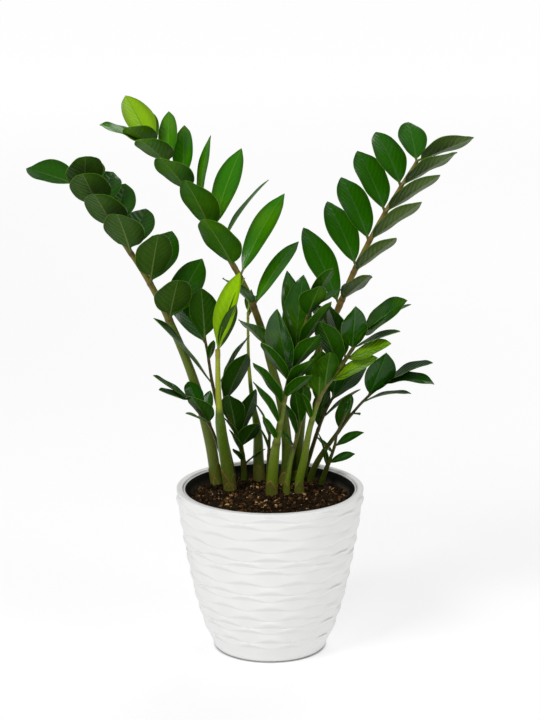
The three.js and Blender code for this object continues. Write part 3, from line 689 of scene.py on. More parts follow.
def leaf_veins_group():
    """The midrib, the slanting side veins and the quilting between them, from a blade's own measures."""
    group = bpy.data.node_groups.new("Leaf Veins", "ShaderNodeTree")
    face = group.interface
    for name in ("Across", "Along", "Part", "Spacing", "Slant", "Rib Width"):
        face.new_socket(name, in_out="INPUT", socket_type="NodeSocketFloat")
    for name in ("Rib", "Veins", "Quilt"):
        face.new_socket(name, in_out="OUTPUT", socket_type="NodeSocketFloat")
    given = group.nodes.new("NodeGroupInput").outputs
    made = group.nodes.new("NodeGroupOutput").inputs
    away = maths(group, "ABSOLUTE", given["Across"])
    swerve = add_node(
        group, "ShaderNodeTexNoise", {"W": given["Along"], "Scale": 0.09, "Detail": 1},
        noise_dimensions="1D",
    ).outputs["Fac"]
    slant = maths(group, "MULTIPLY", away, given["Slant"])
    curve = maths(group, "MULTIPLY", maths(group, "MULTIPLY", away, away), VEIN_CURVE)
    lane = maths(group, "SUBTRACT", given["Along"], maths(group, "ADD", slant, curve))
    lane = maths(group, "ADD", lane, maths(group, "MULTIPLY", swerve, VEIN_WANDER))
    cell = maths(group, "FRACT", maths(group, "DIVIDE", lane, given["Spacing"]))
    off = maths(group, "MULTIPLY", maths(group, "ABSOLUTE", maths(group, "SUBTRACT", cell, 0.5)), 2.0)
    narrowing = maths(group, "SUBTRACT", 1.2, given["Part"])
    rib_width = maths(group, "MULTIPLY", given["Rib Width"], narrowing)
    rib = ranged(group, maths(group, "DIVIDE", away, rib_width), 1.0, 0.3)
    group.links.new(rib, made["Rib"])
    group.links.new(ranged(group, off, 0.6, 1.0), made["Veins"])
    group.links.new(ranged(group, off, 1.0, 0.0), made["Quilt"])
    return group


LEAF_VEINS = leaf_veins_group()


def leaf_material(name, aged, young, rib, veins, gloss, coat, quilt, slant=1.4):
    """One side of the leaflets: its green from aged to young, painted shade towards its margins, and its
    rib and veins.
    """
    material, tree, shader = new_material(
        name, Specular_IOR_Level=0.07, Specular_Tint=LEAF_SHEEN, Coat_Weight=coat, Coat_Roughness=0.14
    )
    parts = parts_of(tree, attribute(tree, "spread", "Vector"))
    lines = add_node(
        tree, "ShaderNodeGroup",
        {
            "Across": parts["X"], "Along": parts["Y"], "Part": parts["Z"], "Spacing": VEIN_SPACING,
            "Slant": slant, "Rib Width": RIB_WIDTH,
        },
        node_tree=LEAF_VEINS,
    ).outputs
    grain, patches = grain_in(tree, *LEAF_GRAIN)
    uneven = maths(tree, "MULTIPLY", maths(tree, "SUBTRACT", patches, 0.5), UNEVEN_TONE)
    tone = maths(tree, "ADD", attribute(tree, "tone", "Fac"), uneven, clamp=True)
    green = colour_mix(tree, tone, aged, young)
    edge = attribute(tree, "edge", "Fac")
    dark = colour_mix(tree, DEEP_SHARE, green, DEEP_GREEN)
    # painted shade: each blade turns darker towards its margins
    green = colour_mix(tree, ranged(tree, edge, *MARGIN_SHADE_EDGE), green, dark)
    veined = colour_mix(tree, maths(tree, "MULTIPLY", lines["Veins"], veins), green, dark)
    ribbed = colour_mix(tree, maths(tree, "MULTIPLY", lines["Rib"], RIB_SHARE), veined, rib)
    stalk = ranged(tree, parts["Z"], *STALK_FADE, 0, STALK_SHARE)
    ribbed = colour_mix(tree, stalk, ribbed, STALK_COLOUR)
    colour = colour_mix(tree, ranged(tree, edge, *RIM_EDGE, 0, RIM_SHARE), ribbed, RIM_COLOUR)
    height = maths(tree, "MULTIPLY", lines["Quilt"], quilt)
    height = maths(tree, "ADD", height, maths(tree, "MULTIPLY", grain, LEAF_GRAIN_SHARE))
    roughness = ranged(tree, patches, 0, 1, gloss, gloss + LEAF_ROUGHNESS_SPREAD)
    dress(tree, shader, colour, roughness, height, LEAF_DEPTH)
    return material


STEM_SHEEN = (0.7, 0.8, 0.3, 1)
STEM_STREAK_SCALE = (0.9, 0.28, 0)
DARK_STREAK_COLOUR = (0.03, 0.03, 0.003, 1)
DARK_STREAKS = (0.52, 0.66)
PALE_STREAK_COLOUR = (0.20, 0.22, 0.04, 1)
PALE_STREAKS = (0.44, 0.34)
STREAK_SHARE = 0.3
STEM_STEP_BLUR = 0.03
STEM_JOINT_SHARE = 0.75
STEM_ROUGHNESS = (0.32, 0.5)
STEM_DEPTH = 0.0004
OLD_JOINT = (0.075, 0.045, 0.016, 1)


def stem_material(name, foot, middle, top, step, joint=OLD_JOINT):
    """A fleshy stem: its colour changes at a part of its length, and its joints are brownish."""
    material, tree, shader = new_material(
        name, Specular_IOR_Level=0.1, Specular_Tint=STEM_SHEEN, Coat_Weight=0.35, Coat_Roughness=0.28
    )
    spread = attribute(tree, "spread", "Vector")
    part = parts_of(tree, spread)["Z"]
    stretched = add_node(
        tree, "ShaderNodeVectorMath", {0: spread, 1: STEM_STREAK_SCALE}, operation="MULTIPLY"
    )
    streaks = noise_in(tree, stretched.outputs["Vector"], 1.0, 4, 0.6)
    colour = colour_mix(tree, ranged(tree, part, 0.0, step * 0.7), foot, middle)
    colour = colour_mix(tree, ranged(tree, part, step - STEM_STEP_BLUR, step + STEM_STEP_BLUR), colour, top)
    shade = colour_mix(tree, STREAK_SHARE, colour, DARK_STREAK_COLOUR)
    colour = colour_mix(tree, ranged(tree, streaks, *DARK_STREAKS), colour, shade)
    pale = colour_mix(tree, STREAK_SHARE, colour, PALE_STREAK_COLOUR)
    colour = colour_mix(tree, ranged(tree, streaks, *PALE_STREAKS), colour, pale)
    ringed = maths(tree, "MULTIPLY", attribute(tree, "tone", "Fac"), STEM_JOINT_SHARE)
    colour = colour_mix(tree, ringed, colour, joint)
    roughness = ranged(tree, streaks, 0.3, 0.7, *STEM_ROUGHNESS)
    dress(tree, shader, colour, roughness, streaks, STEM_DEPTH)
    return material


SHEATH_OLIVE = (0.085, 0.125, 0.009, 1)
SHEATH_BROWN = (0.105, 0.100, 0.014, 1)
SHEATH_TAN = (0.36, 0.18, 0.07, 1)
SHEATH_TORN_EDGE = (0.9, 0.97)
SHEATH_GRAIN = (900, 120)
SHEATH_ROUGHNESS = (0.5, 0.7)
SHEATH_DEPTH = 0.0003


def sheath_material():
    """Dried leaf sheath: olive where it clings to the stem, tan and torn along its edge."""
    material, tree, shader = new_material("papery_sheath", Specular_IOR_Level=0.15)
    _, patches = grain_in(tree, *SHEATH_GRAIN)
    clinging = colour_mix(tree, patches, SHEATH_OLIVE, SHEATH_BROWN)
    rim = ranged(tree, attribute(tree, "edge", "Fac"), *SHEATH_TORN_EDGE)
    torn = maths(tree, "MULTIPLY", rim, ranged(tree, patches, 0.2, 0.8, 0.25, 0.95))
    colour = colour_mix(tree, torn, clinging, SHEATH_TAN)
    roughness = ranged(tree, patches, 0, 1, *SHEATH_ROUGHNESS)
    dress(tree, shader, colour, roughness, patches, SHEATH_DEPTH)
    return material


PAPERY_SHEATH = sheath_material()


def grow_frond(name, node, stem, radius, rows, materials, seed, sheaths=()):
    """Grows a frond by its rows of leaflets, and lets it stand for its CAD node.

    A row has a leaflet for each place that it lists, unless it gives a count, and its other values are
    single or lists read along it. Angles are in degrees: the heading from the back, clockwise from
    above, the rise from level, the roll about the midrib. A sheath has its low end and its height up
    the stem, the way it faces, and how far it reaches round.
    """
    chance = random.Random(seed)
    line = SmoothLine(stem)
    growth = Growth()
    joints = []
    for row in rows:
        shape = {key: row.get(key, usual) for key, usual in BLADE_SHAPE.items()}
        count = row.get("count", np.size(row["at"]))
        for i in range(count):
            part = i / max(count - 1, 1)
            at, heading, rise, length, width = [
                along(row[key], part) for key in ("at", "heading", "rise", "length", "width")
            ]
            roll = along(row.get("roll", 0), part)
            tone = along(row.get("youth", 0.0), part) + chance.uniform(-0.05, 0.05)
            tone = min(max(tone, 0), 1)
            joints.append(at)
            add_leaflet(growth, line.place(at), heading, rise, roll, length, width, tone, chance, shape)
    add_stem(growth, line, radius, joints)
    for low, height, turn, reach in sheaths:
        add_sheath(growth, line, radius, low, height, math.radians(turn), math.radians(reach))
    piece = growth.piece(name, [*materials, PAPERY_SHEATH])
    FEET.append((stem[0][0], stem[0][1], radius[0]))
    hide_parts(node)
    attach(piece, "root")


# ------------------------------------------------------- tall left frond
# The stoutest stem, arching far out to the left. Its front row of broad leaflets shows dull grey-green
# undersides with pale ribs, and its back row the darker, glossier upper sides.
TALL_LEFT = (
    leaf_material(
        "tall_left_upper", aged=(0.015, 0.085, 0.001, 1), young=(0.04, 0.14, 0.003, 1),
        rib=(0.07, 0.14, 0.03, 1), veins=0.3, gloss=0.3, coat=0.3, quilt=0.8, slant=0.8,
    ),
    leaf_material(
        "tall_left_under", aged=(0.029, 0.076, 0.005, 1), young=(0.06, 0.13, 0.012, 1),
        rib=(0.14, 0.19, 0.05, 1), veins=0.4, gloss=0.5, coat=0.0, quilt=0.75, slant=0.8,
    ),
    stem_material(
        "tall_left_stem", foot=(0.10, 0.13, 0.018, 1), middle=(0.09, 0.135, 0.009, 1),
        top=(0.135, 0.115, 0.018, 1), step=0.52,
    ),
)
ROUND_BLADE = {"fold": 9, "fullest": 0.43, "blunt": 0.9, "stalk": 0.15}
grow_frond(
    "tall_left_frond", "frond_tall_left",
    stem=[
        (-55, 44, 158), (-57, 45, 172), (-61, 45, 199), (-69.5, 43, 238), (-81.5, 39, 281),
        (-102.5, 34, 335), (-122, 31, 375), (-142, 29, 408), (-173.5, 28, 452), (-197, 28, 477),
    ],
    radius=[6.0, 5.8, 5.5, 5.0, 4.4, 4.0, 3.3, 2.9, 2.6, 2.3, 2.0],
    rows=[
        dict(at=[0.516, 0.636, 0.737, 0.812, 0.890, 0.951], heading=[167, 166, 190, 197, 192, 174],
             rise=[46, 53, 42, 40, 40, 44], length=[72, 74, 76, 76, 72, 66],
             width=[38, 38, 41, 42, 41, 38], roll=[0, 0, -8, -10], **ROUND_BLADE),
        dict(at=[0.516, 0.636, 0.749, 0.825, 0.901, 0.961], heading=[37, 23, 15, 11, 16, 15],
             rise=[45, 40, 30, 36, 29, 33], length=[77, 69, 65, 63, 57, 51], width=[34, 32],
             roll=[-30, -14, -14, -12]),
        dict(at=0.99, heading=307, rise=8, length=66, width=36, roll=28, fold=24, fullest=0.4,
             blunt=0.0),
    ],
    materials=TALL_LEFT, seed=11,
    sheaths=[(1, 17, 200, 95), (3, 22, 320, 80)],
)

# ----------------------------------------------------- tall middle frond
# It arches left of the middle. Its leaflets are a fresher green that grows lighter up the stem, and
# the last leaflet at the tip is new and lime green.
TALL_MIDDLE = (
    leaf_material(
        "tall_middle_upper", aged=(0.028, 0.175, 0.0005, 1), young=(0.23, 0.44, 0.002, 1),
        rib=(0.10, 0.26, 0.02, 1), veins=0.2, gloss=0.28, coat=0.35, quilt=0.5,
    ),
    leaf_material(
        "tall_middle_under", aged=(0.024, 0.100, 0.0005, 1), young=(0.15, 0.32, 0.001, 1),
        rib=(0.12, 0.19, 0.03, 1), veins=0.2, gloss=0.42, coat=0.04, quilt=0.4,
    ),
    stem_material(
        "tall_middle_stem", foot=(0.05, 0.085, 0.006, 1), middle=(0.10, 0.14, 0.009, 1),
        top=(0.17, 0.125, 0.022, 1), step=0.45,
    ),
)
SPOON_BLADE = {"fold": 13, "arch": 0.055, "fullest": 0.5}
grow_frond(
    "tall_middle_frond", "frond_tall_middle",
    stem=[
        (15, 46, 158), (17, 45, 173), (17, 42, 206), (11, 34, 250), (0.5, 27, 292),
        (-11.5, 22, 337), (-30, 18, 382), (-61, 15, 435), (-94, 13, 490), (-125, 12, 523),
    ],
    radius=[5.8, 5.4, 4.9, 4.4, 3.8, 3.4, 2.9, 2.5, 2.1, 1.9, 1.6],
    rows=[
        dict(at=[0.384, 0.497], heading=[222, 229], rise=[40, 40], length=[54, 52], width=30, arch=0.05,
             fullest=0.4),
        dict(at=[0.608, 0.717, 0.829, 0.915, 0.972], heading=[209, 204, 201, 202, 200],
             rise=[45, 46, 33, 27, 26], length=[82, 82, 80, 72, 62], width=[41, 38, 36, 35, 32],
             roll=[-4, -4, -8, -10], youth=[0.0, 0.03, 0.1, 0.18, 0.25], fold=10, fullest=0.45,
             blunt=0.6),
        dict(at=[0.492, 0.577, 0.711], heading=[37, 41, 27], rise=[36, 48, 50], length=[94, 102, 98],
             width=[21, 27, 26], roll=[-5, -12, -10], youth=[0.0, 0.0, 0.06], **SPOON_BLADE),
        dict(at=[0.849, 0.911], heading=[359, 358], rise=[40, 38], length=[78, 72], width=[23, 21],
             roll=20, youth=[0.08, 0.16]),
        dict(at=[0.67, 0.773], heading=[39, 12], rise=[37, 54], length=[94, 84], width=[18, 14],
             roll=34, youth=0.05, arch=0.04),
        dict(at=0.968, heading=333, rise=34, length=78, width=31, roll=6, youth=1.0, fold=8),
        dict(at=0.968, heading=351, rise=31, length=60, width=20, youth=0.2),
        dict(at=0.981, heading=233, rise=23, length=62, width=22, roll=26, youth=0.12),
    ],
    materials=TALL_MIDDLE, seed=12,
    sheaths=[(1, 14, 250, 90)],
)

# ------------------------------------------------------ tall right frond
# It arches to the right, with narrow leaflets in two ranks: the left rank shows deep glossy green,
# the right rank turns its veined grey-green undersides.
TALL_RIGHT = (
    leaf_material(
        "tall_right_upper", aged=(0.017, 0.110, 0.0005, 1), young=(0.035, 0.17, 0.002, 1),
        rib=(0.05, 0.15, 0.02, 1), veins=0.25, gloss=0.27, coat=0.35, quilt=0.5,
    ),
    leaf_material(
        "tall_right_under", aged=(0.066, 0.112, 0.021, 1), young=(0.09, 0.15, 0.03, 1),
        rib=(0.15, 0.19, 0.08, 1), veins=0.4, gloss=0.42, coat=0.05, quilt=0.8,
    ),
    stem_material(
        "tall_right_stem", foot=(0.035, 0.06, 0.004, 1), middle=(0.08, 0.115, 0.009, 1),
        top=(0.20, 0.13, 0.030, 1), step=0.42,
    ),
)
grow_frond(
    "tall_right_frond", "frond_tall_right",
    stem=[
        (26, 58, 158), (28, 57, 171), (31, 48, 215), (36.5, 40, 259), (50, 35, 303),
        (69, 32, 347), (87, 32, 390), (115, 35, 444), (147, 40, 496),
    ],
    radius=[5.6, 5.2, 4.6, 4.1, 3.6, 3.3, 3.1, 2.8, 2.4, 2.0, 1.6],
    rows=[
        dict(at=[0.546, 0.665, 0.743, 0.834, 0.917, 0.997], heading=[327, 331, 331, 329, 332, 351],
             rise=[47, 45, 46, 47, 44, 39], length=[96, 82, 80, 76, 70, 54],
             width=[32, 33, 34, 34, 34, 30], roll=[8, 6, 4, 2, 0, -4], fold=10, arch=0.04, blunt=0.4),
        dict(at=[0.565, 0.65, 0.748, 0.837, 0.922, 1.0], heading=[156, 136, 126, 124, 124, 120],
             rise=[31, 37, 37, 35, 32, 25], length=[74, 72, 76, 76, 74, 68],
             width=[25, 29, 32, 33, 34, 34], roll=[2, 8, 16, 18, 16, 22], arch=0.01, blunt=0.5),
        dict(at=0.47, heading=204, rise=50, length=42, width=24),
        dict(at=0.445, heading=85, rise=40, length=15, width=9, roll=-50),
    ],
    materials=TALL_RIGHT, seed=13,
    sheaths=[(1, 13, 260, 90)],
)

# ------------------------------------------------------------ new shoots
# Two new fronds. One still holds its lime leaflets folded together on a yellow-green stem above a stout
# olive foot; the other is a bare thin stem with two small leaflets at its tip.
NEW_SHOOT = (
    leaf_material(
        "new_upper", aged=(0.012, 0.075, 0.003, 1), young=(0.27, 0.50, 0.003, 1),
        rib=(0.30, 0.42, 0.03, 1), veins=0.2, gloss=0.32, coat=0.1, quilt=0.3,
    ),
    leaf_material(
        "new_under", aged=(0.03, 0.07, 0.012, 1), young=(0.25, 0.46, 0.004, 1),
        rib=(0.30, 0.40, 0.04, 1), veins=0.2, gloss=0.42, coat=0.0, quilt=0.4,
    ),
    stem_material(
        "new_stem", foot=(0.10, 0.14, 0.016, 1), middle=(0.06, 0.115, 0.004, 1),
        top=(0.28, 0.33, 0.018, 1), step=0.59, joint=(0.25, 0.2, 0.03, 1),
    ),
)
FURLED_BLADE = {"fold": 34, "arch": 0.07, "fullest": 0.52, "blunt": 0.3}
grow_frond(
    "furled_shoot", "shoot_furled",
    stem=[(-41, 27, 158), (-42, 25, 168), (-46, 17, 198), (-50, 6, 232), (-52, -4, 271), (-52, -14, 315)],
    radius=[6.3, 6.2, 6.2, 6.0, 5.6, 5.1, 3.3, 3.0, 2.7, 2.5, 2.3],
    rows=[
        dict(at=1, heading=88, rise=74, length=82, width=27, roll=-66, youth=1.0, **FURLED_BLADE),
        dict(at=0.96, heading=88, rise=71, length=84, width=20, roll=-25, youth=0.85, **FURLED_BLADE),
        dict(at=0.987, heading=136, rise=63, length=60, width=15, roll=30, youth=0.0),
    ],
    materials=NEW_SHOOT, seed=21,
    sheaths=[(0, 20, 330, 85), (1, 26, 215, 90), (0, 12, 270, 70)],
)
grow_frond(
    "thin_back_shoot", "shoot_thin_back",
    stem=[
        (-11, 61, 158), (-12, 63, 179), (-13, 63, 211), (-18.5, 62, 244), (-22, 58, 287), (-22.5, 52, 338),
    ],
    radius=[6.2, 5.8, 5.2, 4.4, 3.1, 2.3, 2.0, 1.7, 1.5, 1.4, 1.3],
    rows=[dict(at=[0.97, 1], heading=[60, 25], rise=[62, 70], length=[26, 24], width=10)],
    materials=NEW_SHOOT, seed=22,
    sheaths=[(1, 16, 260, 80)],
)

# --------------------------------------------------------- middle fronds
# Three fronds of middle height in the centre and right, with big leaflets that catch the light in white
# streaks. Two leaflets low on the right one are new and lime green.
MIDDLE = (
    leaf_material(
        "middle_upper", aged=(0.009, 0.068, 0.001, 1), young=(0.19, 0.40, 0.003, 1),
        rib=(0.05, 0.13, 0.02, 1), veins=0.2, gloss=0.2, coat=0.6, quilt=1.3,
    ),
    leaf_material(
        "middle_under", aged=(0.015, 0.072, 0.001, 1), young=(0.16, 0.35, 0.004, 1),
        rib=(0.10, 0.16, 0.03, 1), veins=0.3, gloss=0.4, coat=0.05, quilt=0.6,
    ),
    stem_material(
        "middle_stem", foot=(0.12, 0.19, 0.010, 1), middle=(0.12, 0.175, 0.012, 1),
        top=(0.13, 0.135, 0.018, 1), step=0.5,
    ),
)
grow_frond(
    "front_centre_frond", "frond_front_centre",
    stem=[
        (2, 10, 158), (2, 8, 171), (5.5, 2, 207), (11, -3, 240), (16.5, -8, 272), (26, -12, 307),
        (35.5, -17, 344), (41.5, -21, 366),
    ],
    radius=[5.7, 5.5, 4.8, 3.5, 2.9, 2.6, 2.6, 2.5, 2.1, 1.7, 1.4],
    rows=[
        dict(at=[0.27, 0.36, 0.46, 0.585], heading=[238, 235, 232, 221], rise=[61, 57, 53, 49],
             length=[34, 60, 64, 64], width=[16, 22, 26, 22]),
        dict(at=[0.5, 0.54], heading=[134, 132], rise=[40, 47], length=[48, 54], width=24, roll=15),
        dict(at=0.610, heading=222, rise=75, length=76, width=37, roll=180),
        dict(at=0.686, heading=27, rise=77, length=88, width=33),
        dict(at=0.738, heading=343, rise=65, length=84, width=23),
        dict(at=0.749, heading=126, rise=54, length=68, width=24, roll=12),
        dict(at=0.647, heading=142, rise=46, length=62, width=24, roll=12),
        dict(at=0.92, heading=163, rise=46, length=54, width=28),
        dict(at=0.975, heading=145, rise=51, length=58, width=20),
        dict(at=0.96, heading=60, rise=24, length=40, width=14),
    ],
    materials=MIDDLE, seed=31,
    sheaths=[(0, 18, 250, 90), (2, 16, 20, 80)],
)
grow_frond(
    "short_centre_shoot", "shoot_short_centre",
    stem=[(17, 12, 158), (17.5, 12, 172), (22, 14, 196), (29, 20, 221), (34, 25, 240)],
    radius=[3.6, 3.3, 2.7, 2.2, 1.7, 1.3, 1.1],
    rows=[
        dict(at=[0.7, 0.98], count=3, heading=[242, 205, 180], rise=[68, 72, 80], length=[42, 42, 34],
             width=18),
        dict(at=0.58, heading=280, rise=44, length=24, width=11),
    ],
    materials=MIDDLE, seed=32,
    sheaths=[(0, 14, 240, 95)],
)
grow_frond(
    "right_centre_frond", "frond_right_centre",
    stem=[
        (30, 16, 158), (30, 14, 171), (34.5, 10, 194), (41, 4, 232), (52, 0, 267), (69, -2, 292),
        (84, -4, 316), (97, -4, 336),
    ],
    radius=[4.7, 4.3, 3.7, 3.2, 2.9, 2.6, 2.5, 2.3, 2.0, 1.7, 1.4],
    rows=[
        dict(at=0.41, heading=224, rise=66, length=36, width=12),
        dict(at=[0.539, 0.607], heading=[177, 172], rise=[67, 54], length=[62, 56], width=[29, 24],
             youth=0.12),
        dict(at=[0.74, 0.797], heading=[215, 238], rise=[57, 70], length=[66, 64], width=29, roll=-8),
        dict(at=0.859, heading=176, rise=59, length=60, width=27, roll=180),
        dict(at=[0.651, 0.797], heading=[118, 127], rise=[30, 24], length=[62, 60], width=26,
             roll=[-30, -32], youth=1.0, arch=0.0),
        dict(at=0.871, heading=125, rise=24, length=60, width=20, roll=-14, arch=0.02),
        dict(at=[0.944, 0.963], heading=[127, 117], rise=[39, 34], length=[70, 62], width=[33, 20],
             roll=[-46, -10], arch=0.03, fullest=0.44, blunt=0.4),
    ],
    materials=MIDDLE, seed=33,
    sheaths=[(0, 15, 280, 95)],
)

# ------------------------------------------------------------ low shoots
# Seven thin shoots round the tall stems, with small dark leaflets and dark stems. Their colours hold
# painted shade for where they stand, low and deep in the clump, so their green is the deepest on the plant.
LOW_SHOOT = (
    leaf_material(
        "low_upper", aged=(0.008, 0.060, 0.001, 1), young=(0.04, 0.15, 0.008, 1),
        rib=(0.04, 0.11, 0.02, 1), veins=0.25, gloss=0.28, coat=0.3, quilt=0.8,
    ),
    leaf_material(
        "low_under", aged=(0.014, 0.056, 0.002, 1), young=(0.05, 0.13, 0.01, 1),
        rib=(0.10, 0.14, 0.05, 1), veins=0.3, gloss=0.45, coat=0.0, quilt=0.6,
    ),
    stem_material(
        "low_stem", foot=(0.055, 0.085, 0.006, 1), middle=(0.055, 0.065, 0.008, 1),
        top=(0.06, 0.055, 0.010, 1), step=0.5,
    ),
)
grow_frond(
    "low_right_frond", "frond_low_right",
    stem=[
        (42, 56, 158), (44, 54, 167), (51, 49, 184), (66, 41, 209), (84, 34, 236), (100, 28, 256),
        (116, 24, 270),
    ],
    radius=[3.6, 3.4, 3.0, 2.5, 2.2, 1.9, 1.6, 1.4, 1.3, 1.2, 1.1],
    rows=[
        dict(at=0.28, heading=261, rise=72, length=20, width=8),
        dict(at=0.48, heading=90, rise=72, length=42, width=20, roll=58),
        dict(at=0.66, heading=152, rise=9, length=16, width=7),
        dict(at=0.847, heading=150, rise=58, length=62, width=32, roll=195, fullest=0.55),
        dict(at=0.774, heading=119, rise=17, length=58, width=15, arch=0.07),
        dict(at=0.955, heading=122, rise=11, length=64, width=27, roll=-14, arch=0.12),
        dict(at=0.978, heading=108, rise=28, length=60, width=32, roll=-8, arch=0.05),
    ],
    materials=LOW_SHOOT, seed=41,
)
grow_frond(
    "right_shoot", "shoot_right",
    stem=[(53, 45, 158), (55, 42, 166), (60, 36, 182), (66, 30, 202), (69, 26, 219), (77, 22, 239)],
    radius=[3.2, 2.6, 2.0, 1.6, 1.3, 1.1, 1.0],
    rows=[
        dict(at=0.31, heading=102, rise=23, length=30, width=11, roll=-35, arch=0.05),
        dict(at=0.549, heading=108, rise=30, length=36, width=12, roll=-35, arch=0.06),
        dict(at=0.25, heading=220, rise=78, length=22, width=7),
        dict(at=0.98, heading=40, rise=62, length=18, width=6),
    ],
    materials=LOW_SHOOT, seed=42,
)
grow_frond(
    "front_left_shoot", "shoot_front_left",
    stem=[(-40, 41, 158), (-44, 38, 172), (-52, 28, 200), (-60, 17, 226), (-70, 9, 245), (-81, 4, 261)],
    radius=[2.0, 1.8, 1.5, 1.3],
    rows=[
        dict(at=[0.68, 0.7], heading=[213, 236], rise=[50, 27], length=[46, 30], width=[30, 16]),
        dict(at=[0.975, 1], heading=[235, 252], rise=[23, 35], length=[42, 46], width=21, roll=12,
             arch=-0.03),
        dict(at=[0.86, 0.76], heading=[338, 28], rise=[34, 66], length=[38, 28], width=[20, 14]),
    ],
    materials=LOW_SHOOT, seed=43,
)
grow_frond(
    "dark_left_shoot", "shoot_dark_left",
    stem=[(-38, 58, 158), (-39, 56, 170), (-48, 46, 216), (-58, 34, 264), (-63, 27, 300), (-66, 22, 319)],
    radius=[2.8, 2.5, 2.1, 1.8, 1.5, 1.3],
    rows=[
        dict(at=0.985, heading=190, rise=73, length=60, width=32),
        dict(at=0.955, heading=316, rise=38, length=66, width=32, roll=10),
        dict(at=0.681, heading=247, rise=50, length=98, width=30, roll=14, arch=0.02, fullest=0.58),
        dict(at=0.84, heading=150, rise=66, length=26, width=10),
    ],
    materials=LOW_SHOOT, seed=44,
)
grow_frond(
    "centre_left_shoot", "shoot_centre_left",
    stem=[(-27, 58, 158), (-27, 56, 171), (-30, 50, 196), (-35, 44, 216), (-44, 36, 239), (-49, 30, 273)],
    radius=[3.2, 2.6, 2.0, 1.6, 1.3],
    rows=[
        dict(at=[0.793, 1], heading=[126, 112], rise=[63, 58], length=[62, 58], width=[32, 20],
             roll=[15, 0]),
        dict(at=0.5, heading=192, rise=56, length=54, width=26),
        dict(at=[0.4, 0.32], heading=[122, 141], rise=[70, 49], length=[60, 42], width=[27, 22],
             roll=15),
        dict(at=[0.145, 0.165], heading=[105, 223], rise=[39, 50], length=[30, 24], width=[10, 12]),
        dict(at=[0.37, 0.24], heading=[245, 236], rise=[58, 62], length=[34, 34], width=[16, 14]),
    ],
    materials=LOW_SHOOT, seed=45,
)
grow_frond(
    "small_centre_shoot", "shoot_small_centre",
    stem=[(-2, 38, 158), (-2, 37, 176), (-1, 34, 200), (0, 30, 224)],
    radius=[2.4, 2.0, 1.5, 1.2],
    rows=[
        dict(at=[0.97, 0.6], heading=[262, 250], rise=[60, 68], length=[32, 26], width=9),
        dict(at=[0.8, 0.5], heading=[225, 110], rise=[70, 60], length=[28, 24], width=9),
    ],
    materials=LOW_SHOOT, seed=47,
)
grow_frond(
    "dark_right_shoot", "shoot_dark_right",
    stem=[(36, 65, 158), (37, 66, 167), (42, 66, 184), (50, 63, 211), (57, 60, 231), (65, 58, 247)],
    radius=[3.0, 2.6, 2.2, 1.9, 1.6, 1.3],
    rows=[
        dict(at=0.585, heading=125, rise=78, length=54, width=22, roll=20),
        dict(at=0.73, heading=112, rise=40, length=54, width=18, roll=-12),
        dict(at=[0.94, 1], heading=[50, 20], rise=[33, 58], length=[60, 44], width=[30, 24]),
        dict(at=0.8, heading=330, rise=62, length=44, width=20),
        dict(at=0.5, heading=125, rise=-35, length=26, width=7),
    ],
    materials=LOW_SHOOT, seed=46,
)

# ----------------------------------------------------------- potting mix
# Moist peat and composted bark pressed round the stems, with crumbs, golden bark chips and a few white
# perlite grains lying on it. It fills the nursery pot to a finger's width under its lip. Each unevenness
# of its surface has a height, how close it comes, and a cut through the noise that makes it.
MIX_LEVEL = 155
MIX_RADIUS = 82
MIX_SIDES = 220
MIX_RINGS = 60
MIX_CLEARANCE = 0.4
MIX_SHOULDER = 152
MIX_SWELLS = (1.5, 0.05, 3)
MIX_CLODS = (1.3, 0.28, 9)
MIX_GRIT = (0.5, 0.9, 5)
MOUND_HEIGHT = 2.2
MOUND_REACH = 5
HIGHEST_MOUND = 2.6
STREWN_RADIUS = 80.5
MOSTLY_SMALL = 2.4
CRUMB_JAG = 0.22
CRUMB_LEAN = 0.45
CRUMB_SQUEEZE = (0.8, 1.2)
CRUMB_PROUD = (0.1, 0.8)
CLUMPS = 0.06
CRUMB_GRAIN = (1400, 330)
CRUMB_ROUGHNESS = (0.95, 0.75)
CRUMB_DEPTH = 0.0005


def mix_height(x, y):
    """Height of the mix's surface: slow swells, small clods, grit, and a low mound round each stem."""
    height = MIX_LEVEL
    for high, close, cut in (MIX_SWELLS, MIX_CLODS, MIX_GRIT):
        height += high * noise.noise(Vector((x * close, y * close, cut)))
    mound = 0
    for foot_x, foot_y, radius in FEET:
        away = max(math.hypot(x - foot_x, y - foot_y) - radius, 0)
        mound += MOUND_HEIGHT * math.exp(-away / MOUND_REACH)
    return height + min(mound, HIGHEST_MOUND)


def make_mix(material):
    foot = LINER_FLOOR + LINER_WALL + MIX_CLEARANCE
    rings = [circle(LINER_BASE_RADIUS - LINER_WALL - MIX_CLEARANCE, foot, MIX_SIDES)]
    rings.append(circle(liner_radius(MIX_SHOULDER) - LINER_WALL - MIX_CLEARANCE, MIX_SHOULDER, MIX_SIDES))
    for k in range(MIX_RINGS):
        ring = circle(MIX_RADIUS * (1 - k / MIX_RINGS), MIX_LEVEL, MIX_SIDES)
        ring[:, 2] = [mix_height(x, y) for x, y, _ in ring]
        rings.append(ring)
    return turned_body("mix_body", rings, material)


def crumb_material(name, dark, light):
    material, tree, shader = new_material(name, Specular_IOR_Level=0.08)
    grain, patches = grain_in(tree, *CRUMB_GRAIN)
    colour = colour_mix(tree, patches, dark, light)
    roughness = ranged(tree, patches, 0, 1, *CRUMB_ROUGHNESS)
    dress(tree, shader, colour, roughness, grain, CRUMB_DEPTH)
    return material


